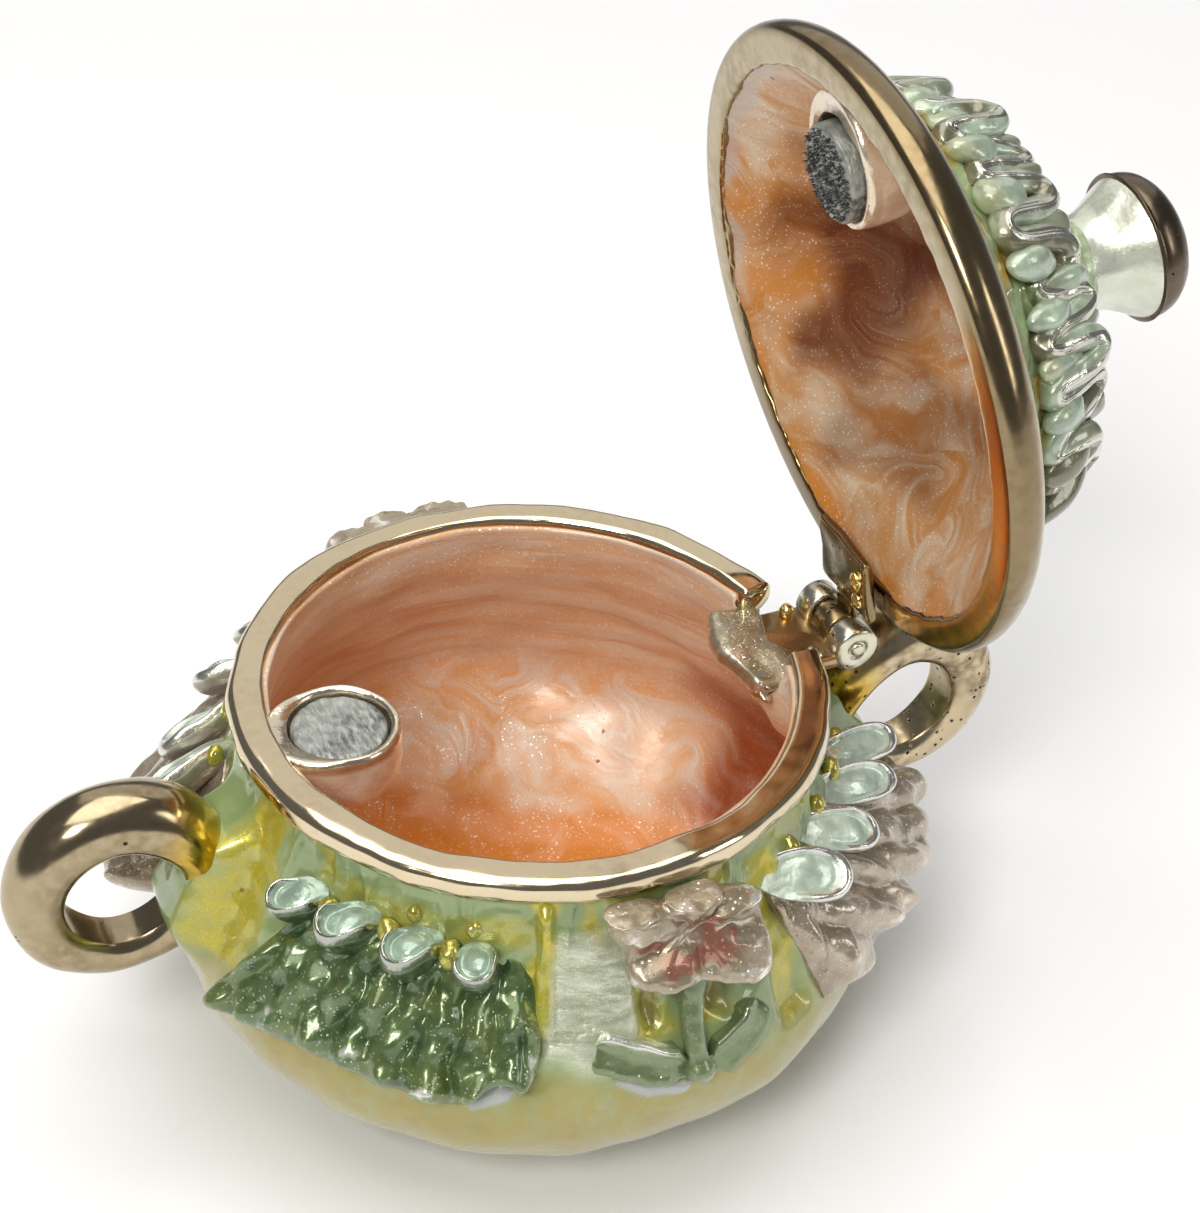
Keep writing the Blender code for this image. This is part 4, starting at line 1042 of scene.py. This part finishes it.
def makeHinge():
    # two leaves, three knuckles and their pin, with uneven solder and drops of it
    half, third, gap = hinge["width"] / 2, hinge["width"] / 6, hinge["gap"]
    low, top = hinge["z"] - hinge["knuckle"], bowl["rimHeight"]
    pad = leafSlab((14.1, -4.0, 25.1), (17.6, 4.1, 26.35), 0.7, 0.17, 72)
    hollow = 0.5 * bump(pad[..., 1], 0.9, 0.4, 2.6) * ease(16.5, 14.2, pad[..., 0])
    pad[..., 0] -= hollow - 0.10 * np.abs(pad[..., 1])
    leaf = leafSlab((14.6, -half, low - 0.1), (hinge["x"] - 0.4, half, low + 1.0), 0.35, 0.14, 71)
    lidLeaf = leafSlab((15.4, -half, top - 0.9), (20.6, half, top - 0.05), 0.25, 0.08, 74)
    tongue = leafSlab((20.0, -third, top - 0.95), (22.6, third, top - 0.35), 0.2, 0.03, 75)
    putSurface("bowlHingeLeaf", leaf, solderFinish, bowlHinge, "v", "u")
    putSurface("solderPad", pad, lumpFinish, bowlHinge, "v", "u")
    for name, grid, finish in (
            ("solderDrop", blob((15.2, -3.2, 24.9), (0.6, 1.1, 0.5), 79, 0.2), knuckleFinish),
            ("solderBead1", blob((17.5, 4.6, 26.6), (0.9, 1.1, 0.7), 73, 0.16), brownFinish),
            ("solderBead2", blob((19.6, -2.2, 25.9), (0.7, 0.7, 0.6), 78, 0.1), knuckleFinish),
            ("solderBead3", blob((19.8, 2.3, 26.4), (0.55, 0.5, 0.5), 70, 0.16), brightDot),
            ("knuckleNear", knuckle(-half, -third - gap, 1.2), knuckleFinish),
            ("knuckleFar", knuckle(third + gap, half, 1.1), knuckleFinish)):
        putSurface(name, grid, finish, bowlHinge)
    putSurface("lidHingeLeaf", lidLeaf, brownFinish, lidHinge, "v", "u")
    putSurface("lidHingeTongue", tongue, brownFinish, lidHinge, "v", "u")
    putSurface("knuckleMiddle", knuckle(-third, third), brownFinish, lidHinge, shut=False)
    putSurface("solderDot1", blob((17.3, -2.2, top - 0.88), (0.75, 0.55, 0.34), 76), brightDot, lidHinge)
    putSurface("solderDot2", blob((18.9, -2.3, top - 1.0), (0.6, 0.5, 0.35), 77), brightDot, lidHinge)
    turn = fullTurn(40)
    line = np.array([(0, half + 0.12), (0.35, half + 0.10), (hinge["pin"], half)])
    line = np.vstack([line * (1, -1), line[::-1]])
    grid = xyz(hinge["x"] + line[:, 0] * np.cos(turn), line[:, 1], hinge["z"] + line[:, 0] * np.sin(turn))
    putSurface("hingePin", grid, knuckleFinish, hingePin)


magnet = dict(x=-13.06, radius=3.1, thick=1.6, drop=0.55, proud=0.45, lidShift=0.28)
needle = dict(count=900, reach=2.85, base=0.075, lean=0.13, short=0.10, long=0.36)
# cup round a magnet: radius and depth below the rim's face
cup = [(0, 4.95), (2.6, 4.85), (3.5, 4.2), (3.95, 3.2), (4.0, 1.6), (3.95, 0.7), (3.8, 0.32), (3.62, 0.26),
       (3.42, 0.34), (3.3, 0.6), (3.28, 1.6), (3.2, 2.4), (0, 2.4)]


def magnetCup(face, way):
    # cup under a rim: turned profile about the magnet's axis, drawn out to the wall on its outer side
    line = closedLine(cup, 90)
    turn = fullTurn(180)
    outside = (np.arange(len(line)) < np.argmin(line[:, 1]) + 6)[None] & (line[:, 0] > 3.4)[None]
    toWall = np.clip(-np.cos(turn), 0, 1) ** 2 * outside
    r = line[:, 0] + toWall
    grid = xyz(magnet["x"] + r * np.cos(turn), r * np.sin(turn), face + way * line[:, 1])
    grid[..., 2] += 0.05 * softNoise(grid, 3.0, 81)
    return grid, ease(1.5, 0.8, line[:, 1])


def disc(centreX, low, high, radius, seed, wobble=0.03):
    # flat disc with worn round edges, its face up
    line = np.vstack([np.stack([np.linspace(0, radius - 0.35, 30), np.full(30, high)], 1),
                      softLine([(radius - 0.25, high - 0.01), (radius - 0.06, high - 0.12),
                                (radius, high - 0.32)], 6),
                      [(radius, (low + high) / 2), (radius, low + 0.2), (radius - 0.2, low), (0, low)]])
    grid = turned(line, 110) + (centreX, 0, 0)
    grid[..., 2] += wobble * softNoise(grid, 1.2, seed) * (line[:, 0] > 0.1)
    return grid


def makeNeedles(centreX, face):
    # iron filings that stand on the magnet: three-sided spikes, leaning at random
    n = needle
    rng = np.random.default_rng(84)
    radius = n["reach"] * np.sqrt(rng.uniform(0, 1, n["count"]))
    turn = rng.uniform(0, 2 * math.pi, n["count"])
    foot = xyz(centreX + radius * np.cos(turn), radius * np.sin(turn), face + 0.04)
    tip = foot + rng.normal(0, n["lean"], foot.shape) * (1, 1, 0)
    tip -= np.outer(rng.uniform(n["short"], n["long"], n["count"]), (0, 0, 1))
    side = fullTurn(3)[:, 0]
    base = foot[:, None] + n["base"] * xyz(np.cos(side), np.sin(side), 0)
    points = openLid(np.concatenate([base, tip[:, None]], 1)).reshape(-1, 3) * mm
    start = 4 * np.arange(n["count"])[:, None]
    faces = np.concatenate([start + (0, 1, 2), start + (1, 0, 3), start + (2, 1, 3), start + (0, 2, 3)])
    mesh = bpy.data.meshes.new("filingNeedles")
    mesh.from_pydata(points.tolist(), [], faces.tolist())
    putPiece("filingNeedles", mesh, filings, lidMagnet)


def makeMagnets():
    m = magnet
    grid, bare = magnetCup(bowl["rimHeight"], -1)
    putSurface("magnetCup", grid, magnetCupFinish, bowlEnamelled, bareMetal=bare)
    grid, bare = magnetCup(lid["face"], 1)
    skin = np.interp(np.hypot(grid[..., 0], grid[..., 1]), lidLine[:, 0], lidLine[:, 1])
    grid[..., 2] = np.minimum(grid[..., 2], skin - 0.7)
    putSurface("lidMagnetCup", grid, magnetCupFinish, lidGilt, bareMetal=0.25 + 0.5 * bare)
    top, face = bowl["rimHeight"] - m["drop"], lid["face"] - m["proud"]
    putSurface("bowlMagnetDisc", disc(m["x"], top - m["thick"], top, m["radius"], 82), plating, bowlMagnet)
    grid = disc(m["x"] + m["lidShift"], -face - m["thick"], -face, m["radius"], 83) * (1, 1, -1)
    putSurface("lidMagnetDisc", grid, discEdge, lidMagnet)
    makeNeedles(m["x"] + m["lidShift"], face)


# the lid, worked out shut with its face 0.3 mm above the bowl's rim
lid = dict(face=28.3, steps=560,
           outer=[(0, 17.0), (3.4, 16.2), (5.6, 13.8), (8.6, 11.8), (11.6, 9.0), (13.6, 6.4), (15.4, 4.6),
                  (17.4, 3.3), (19.3, 2.4)],
           inner=[(0, 11.4), (2.4, 11.4), (6.0, 10.4), (9.2, 8.4), (11.8, 5.8), (14.4, 3.0), (16.8, 1.2),
                  (18.1, 0.25)],
           rim=[(18.0, 0.6), (18.05, 0.15), (18.35, 0.0), (19.2, -0.02), (19.95, 0.02), (20.25, 0.14),
                (20.5, 0.6), (20.45, 1.4), (19.95, 2.35), (18.95, 3.0), (18.0, 2.4)])
lidLine = softLine(lid["outer"], 120) + (0, lid["face"])
onLid, lidArc = turnedPlace(lidLine)

makeHinge()
makeMagnets()
print("hinge and magnets made")


def makeLidShell():
    # outer skin of the dome with its own back; amber shows in places along the foot of the frill
    back, steps, radius = backed(lidLine, -0.8), lid["steps"], lidLine[:, 0][None]
    turn = np.degrees(fullTurn(steps))
    grid = onLid(turn, lidArc[None], 0)
    uneven = 0.10 * softNoise(grid, 4.0, 91) + 0.05 * softNoise(grid, 1.6, 92)
    grid = onLid(turn, lidArc[None], uneven * ease(19.0, 17.0, radius))
    yellow = bump(radius, 15.2, 0.9, 1.3) * ease(-0.25, 0.3, softNoise(grid, 2.8, 93))
    grid = np.concatenate([grid, turned(back, steps)], 1)
    putSurface("lidShell", grid, lidEnamel, lidEnamelled, yellow=np.pad(yellow, ((0, 0), (0, len(back)))))


def makeLidLining():
    # dished inner skin with its own back; a milky border runs round inside the rim, orange towards the hinge
    line, steps = softLine(lid["inner"], 120) + (0, lid["face"]), 400
    back = backed(line, 0.55)
    grid = turned(line, steps)
    grid[..., 2] += 0.12 * softNoise(grid, 5.0, 94) * ease(0, 3, line[:, 0])
    border = ease(16.9, 17.9, line[:, 0] + 0.5 * softNoise(grid, 6.0, 96))
    near = ease(1, 8, grid[..., 0])    # 1 towards the hinge
    pad = ((0, 0), (0, len(back)))
    grid = np.concatenate([grid, turned(back, steps)], 1)
    x, y = grid[..., 0] + 1.5 * softNoise(grid, 8.0, 14), grid[..., 1] + 1.5 * softNoise(grid, 8.0, 15)
    # shade: painted shade on the part of the lining turned from the light, right of the middle, with a
    # weaker patch towards the hinge
    away = np.hypot(0.8 * (x - 3.6), y - 10.4)
    shade = ease(9.5, 2.5, away) * ease(16.6, 13.2, np.hypot(x, y))
    shade = np.maximum(shade, 0.5 * bump(x, 10.0, 1.0, 3.0) * bump(y, 3.0, 4.0, 5.0))
    warm = np.maximum(0.8 * bump(x, 2.0, 5.0, 5.0) * bump(y, 13.5, 2.5, 4.0), np.pad(border * near, pad))
    putSurface("lidLining", grid, lidPeach, lidEnamelled, milky=np.pad(0.7 * border * (1 - near), pad),
               warm=warm, shade=shade)


def makeLidRim():
    # closed gilt section, darker at its outer edge and by the hinge, with a painted orange reflection on one
    # side of its face
    loop = softLine(lid["rim"] + lid["rim"][:1], 61)[:-1] + (0, lid["face"])
    radius = loop[:, 0]
    grid = turned(loop, lid["steps"])
    turn = np.arctan2(grid[..., 1], grid[..., 0])
    inner = 0.05 * softNoise(grid, 1.2, 98) * (radius < 18.6)
    grid += inner[..., None] * xyz(np.cos(turn), np.sin(turn), 0)
    bronze = np.maximum(0.62 * ease(19.6, 20.3, radius), ease(5, 16, grid[..., 0]))
    face = bump(radius, 19.1, 0.7, 0.3) * (loop[:, 1] < lid["face"] + 0.3)
    # golden: painted orange reflection on the face's far side
    golden = face * ease(-13, -8, grid[..., 0]) * ease(-1, -6, grid[..., 1])
    golden = golden * (0.7 + 0.3 * ease(-0.6, 0.6, softNoise(grid, 2.5, 103)))
    putSurface("lidRim", grid, lidGold, lidGilt, "uv", bronze=bronze * (1 - golden), golden=golden)


# the frill: its inner bends in degrees; its wall's middle radius, swing, least and most height, thickness;
# its pools and lumps: place from the axis, depth, width to a radian of bay, height
frill = dict(tongues=[4, 20, 37, 54, 70, 87, 103, 119, 135, 151.8, 170.6, 182.3, 194.2, 208.4, 226.6, 240,
                      252, 265.8, 279.5, 294, 311, 329, 347],
             middle=12.7, swing=1.15, loop=0.07, spread=0.05, low=1.3, high=2.75, thick=1.75,
             pool=(13.25, 1.15, 4.572, 1.45), lump=(11.6, 0.95, 3.99, 1.75))


def makeFrill():
    # lettuce frill: a thick round-topped wall that winds round the dome like a meander, low where it bends
    # outwards and high where it bends in
    f = frill
    count = len(f["tongues"])
    places = np.array(f["tongues"] + [f["tongues"][0] + 360.0])
    s = np.linspace(0, count, 48 * count, endpoint=False)[:, None]
    v = np.sin(np.linspace(0, math.pi / 2, 26))[None]
    out = 0.5 - 0.5 * np.cos(2 * math.pi * s)    # 1 where the wall bends outwards, between two bays
    winding = s + f["loop"] * np.sin(4 * math.pi * s) + f["spread"] * np.sin(2 * math.pi * s)
    angle = np.interp(winding, np.arange(count + 1), places)
    ring = 2 * math.pi * s / count
    wild = softNoise(xyz(np.cos(ring) * 9, np.sin(ring) * 9, 0), 4.0, 95)
    radius = f["middle"] - f["swing"] * np.cos(2 * math.pi * s) + 0.45 * wild
    radius = radius + (0.60 * out - 0.25) * v
    tall = (f["high"] + (f["low"] - f["high"]) * out) * (1 + 0.16 * wild)
    tall = tall * (1 - 0.25 * bump(angle % 360, 278, 3, 6)) + 0.4
    middle = onLid(angle, np.interp(radius, lidLine[:, 0], lidArc), tall * v - 0.4)
    top = np.clip((v - 1) * tall / (0.5 * f["thick"]) + 1, 0, 1)
    grid = thickSheet(middle, f["thick"] * np.sqrt(np.maximum(1 - top ** 2, 0.01)))
    grid += 0.08 * softNoise(grid, 1.7, 99)[..., None]
    edge = 1 - ease(0.03, 0.10, tall * (1 - v) * (1 + 0.4 * wild))
    metal = bump(angle % 360, 292, 14, 4)
    amber = ease(0.8, 0.3, v) * ease(0.4, 0.9, out) * ease(-0.5, 0.3, wild)
    thin, deep = softNoise(middle, 5.0, 101), ease(0.75, 0.25, v)    # deep: painted shade, dark low in the folds
    behind = np.maximum(np.maximum(ease(-0.9, 0.3, thin), deep), metal)    # towards the knob: rubbed thin, and the painted shade in the folds
    before = np.maximum(np.maximum(0.6 * ease(-0.4, 0.7, thin), 0.8 * deep), metal)
    both = {key: np.concatenate([back, front[:, ::-1]], 1) for key, back, front
            in (("edge", edge, edge), ("under", behind, before), ("yellow", amber, amber))}
    putSurface("lidFrill", grid, frillMint, lidEnamelled, "uv", **both)
    makeFrillFill(places)


def makeFrillFill(places):
    # a pool of enamel fills each bay of the frill, and lumps fill the bays behind it
    pools, lumps = [], []
    for k, (start, end) in enumerate(zip(places[:-1], places[1:])):
        span = math.radians(end - start)
        grow = 1 + 0.4 * bump(start, 287, 9, 4)
        for shapes, way, (r, deep, wide, tall), size in (
                (pools, start, frill["pool"], grow), (lumps, (start + end) / 2, frill["lump"], 1)):
            c, d = math.cos(math.radians(way)), math.sin(math.radians(way))
            ball = blob((0, 0, 0), (deep * size, wide * span, tall * size), 170 + k, 0.12, 22)
            ball[..., 2] -= 0.8 * ball[..., 0]    # along the slope of the dome
            centre = onLid(way, np.interp(r, lidLine[:, 0], lidArc), 0.9)
            shapes.append(centre + ball @ np.array([(c, d, 0), (-d, c, 0), (0, 0, 1)]))
    for name, shapes, bare in (("lidFrillPools", np.stack(pools), 0.0),
                               ("lidFrillLumps", np.stack(lumps), 0.75)):
        turn = np.degrees(np.arctan2(shapes[..., 1], shapes[..., 0])) % 360
        metal = bump(turn, 288, 13, 3)
        tint = np.maximum(bare * ease(-0.8, 0.6, softNoise(shapes, 6.0, 180)), metal)
        depth = shapes[..., 2] - shapes[..., 2].mean(axis=(1, 2), keepdims=True)
        amber = 0.25 * ease(0.5, -1.2, depth) * ease(-0.4, 0.6, softNoise(shapes, 5.0, 181)) * (1 - metal)
        putSurface(name, shapes, frillMint, lidEnamelled, under=tint, yellow=amber)


knob = dict(body=[(0, 13.9), (4.4, 13.9), (3.5, 15.2), (3.2, 16.6), (3.35, 17.7), (3.9, 18.8), (4.5, 19.8),
                  (4.74, 20.4), (4.3, 20.7), (0, 20.7)],
            cap=[(0, 20.1), (4.55, 20.1), (4.80, 20.35), (4.78, 21.0), (4.45, 21.8), (3.6, 22.6),
                 (2.2, 23.15), (0, 23.35)])


def makeKnob():
    for name, key, finish, home in (("knobBody", "body", knobPearl, lidEnamelled),
                                    ("knobCap", "cap", capGold, lidGilt)):
        grid = turned(closedLine(knob[key], 90) + (0, lid["face"]), 160)
        grid += 0.04 * softNoise(grid, 3.0, 97)[..., None]
        putSurface(name, grid, finish, home, ridge=0.5)


makeLidShell()
makeLidLining()
makeLidRim()
makeFrill()
makeKnob()
print("lid made")

# floor, lights and camera

studio = dict(turn=25.38, tilt=37.79, roll=3.57, distance=166.6, aim=(0, 0, 28.0), shift=(4.16, 4.70),
              lens=76.46)


def makeFloor():
    mesh = bpy.data.meshes.new("floor")
    mesh.from_pydata([(-3, -3, 0), (3, -3, 0), (3, 3, 0), (-3, 3, 0)], [], [(0, 1, 2, 3)])
    floor = bpy.data.objects.new("floor", mesh)
    bpy.context.scene.collection.objects.link(floor)
    pale = newMaterial("paleFloor", Base_Color=(0.93, 0.94, 0.97), Roughness=0.9, Specular_IOR_Level=0.1)[0]
    mesh.materials.append(pale)


def makeLamp(name, place, aim, size, power, colour=(1, 1, 1)):
    lamp = bpy.data.lights.new(name, "AREA")
    lamp.shape, lamp.size, lamp.size_y = "RECTANGLE", size[0], size[1]
    lamp.energy, lamp.color = power, colour
    thing = bpy.data.objects.new(name, lamp)
    bpy.context.scene.collection.objects.link(thing)
    thing.location = place
    thing.rotation_euler = (Vector(aim) - Vector(place)).to_track_quat("-Z", "Y").to_euler()


def makeCamera():
    c = studio
    turn, tilt, roll = (math.radians(c[k]) for k in ("turn", "tilt", "roll"))
    right = Vector((math.cos(turn), -math.sin(turn), 0))
    up = Vector((math.sin(tilt) * math.sin(turn), math.sin(tilt) * math.cos(turn), math.cos(tilt)))
    ahead = Vector((math.cos(tilt) * math.sin(turn), math.cos(tilt) * math.cos(turn), -math.sin(tilt)))
    place = Vector(c["aim"]) - ahead * c["distance"] + right * c["shift"][0] + up * c["shift"][1]
    across = right * math.cos(roll) + up * math.sin(roll)
    upward = up * math.cos(roll) - right * math.sin(roll)
    camera = bpy.data.objects.new("camera", bpy.data.cameras.new("camera"))
    camera.data.lens, camera.data.sensor_width, camera.data.sensor_fit = c["lens"], 36, "AUTO"
    axes = Matrix((across, upward, -ahead)).transposed()
    camera.matrix_world = Matrix.Translation(place * mm) @ axes.to_4x4()
    bpy.context.scene.collection.objects.link(camera)
    bpy.context.scene.camera = camera


makeFloor()
makeCamera()
makeLamp("keyPanel", (-0.30, -0.30, 0.45), (0, 0, 0.03), (0.18, 0.18), 1.9, (1.0, 0.97, 0.91))
makeLamp("topPanel", (-0.05, 0.05, 0.60), (0, 0, 0.03), (0.60, 0.50), 2.6, (1.0, 0.97, 0.92))
makeLamp("backPanel", (0.25, 0.52, 0.45), (0, 0, 0.03), (0.90, 0.60), 1.1, (1.0, 0.97, 0.92))
makeLamp("sidePanel", (0.42, -0.36, 0.28), (0, 0, 0.03), (0.12, 0.30), 0.5)
world = bpy.data.worlds.new("studio")
world.use_nodes = True
world.node_tree.nodes["Background"].inputs["Color"].default_value = (0.9, 0.92, 0.95, 1)
world.node_tree.nodes["Background"].inputs["Strength"].default_value = 0.16
bpy.context.scene.world = world
bpy.context.scene.view_settings.view_transform = "Standard"
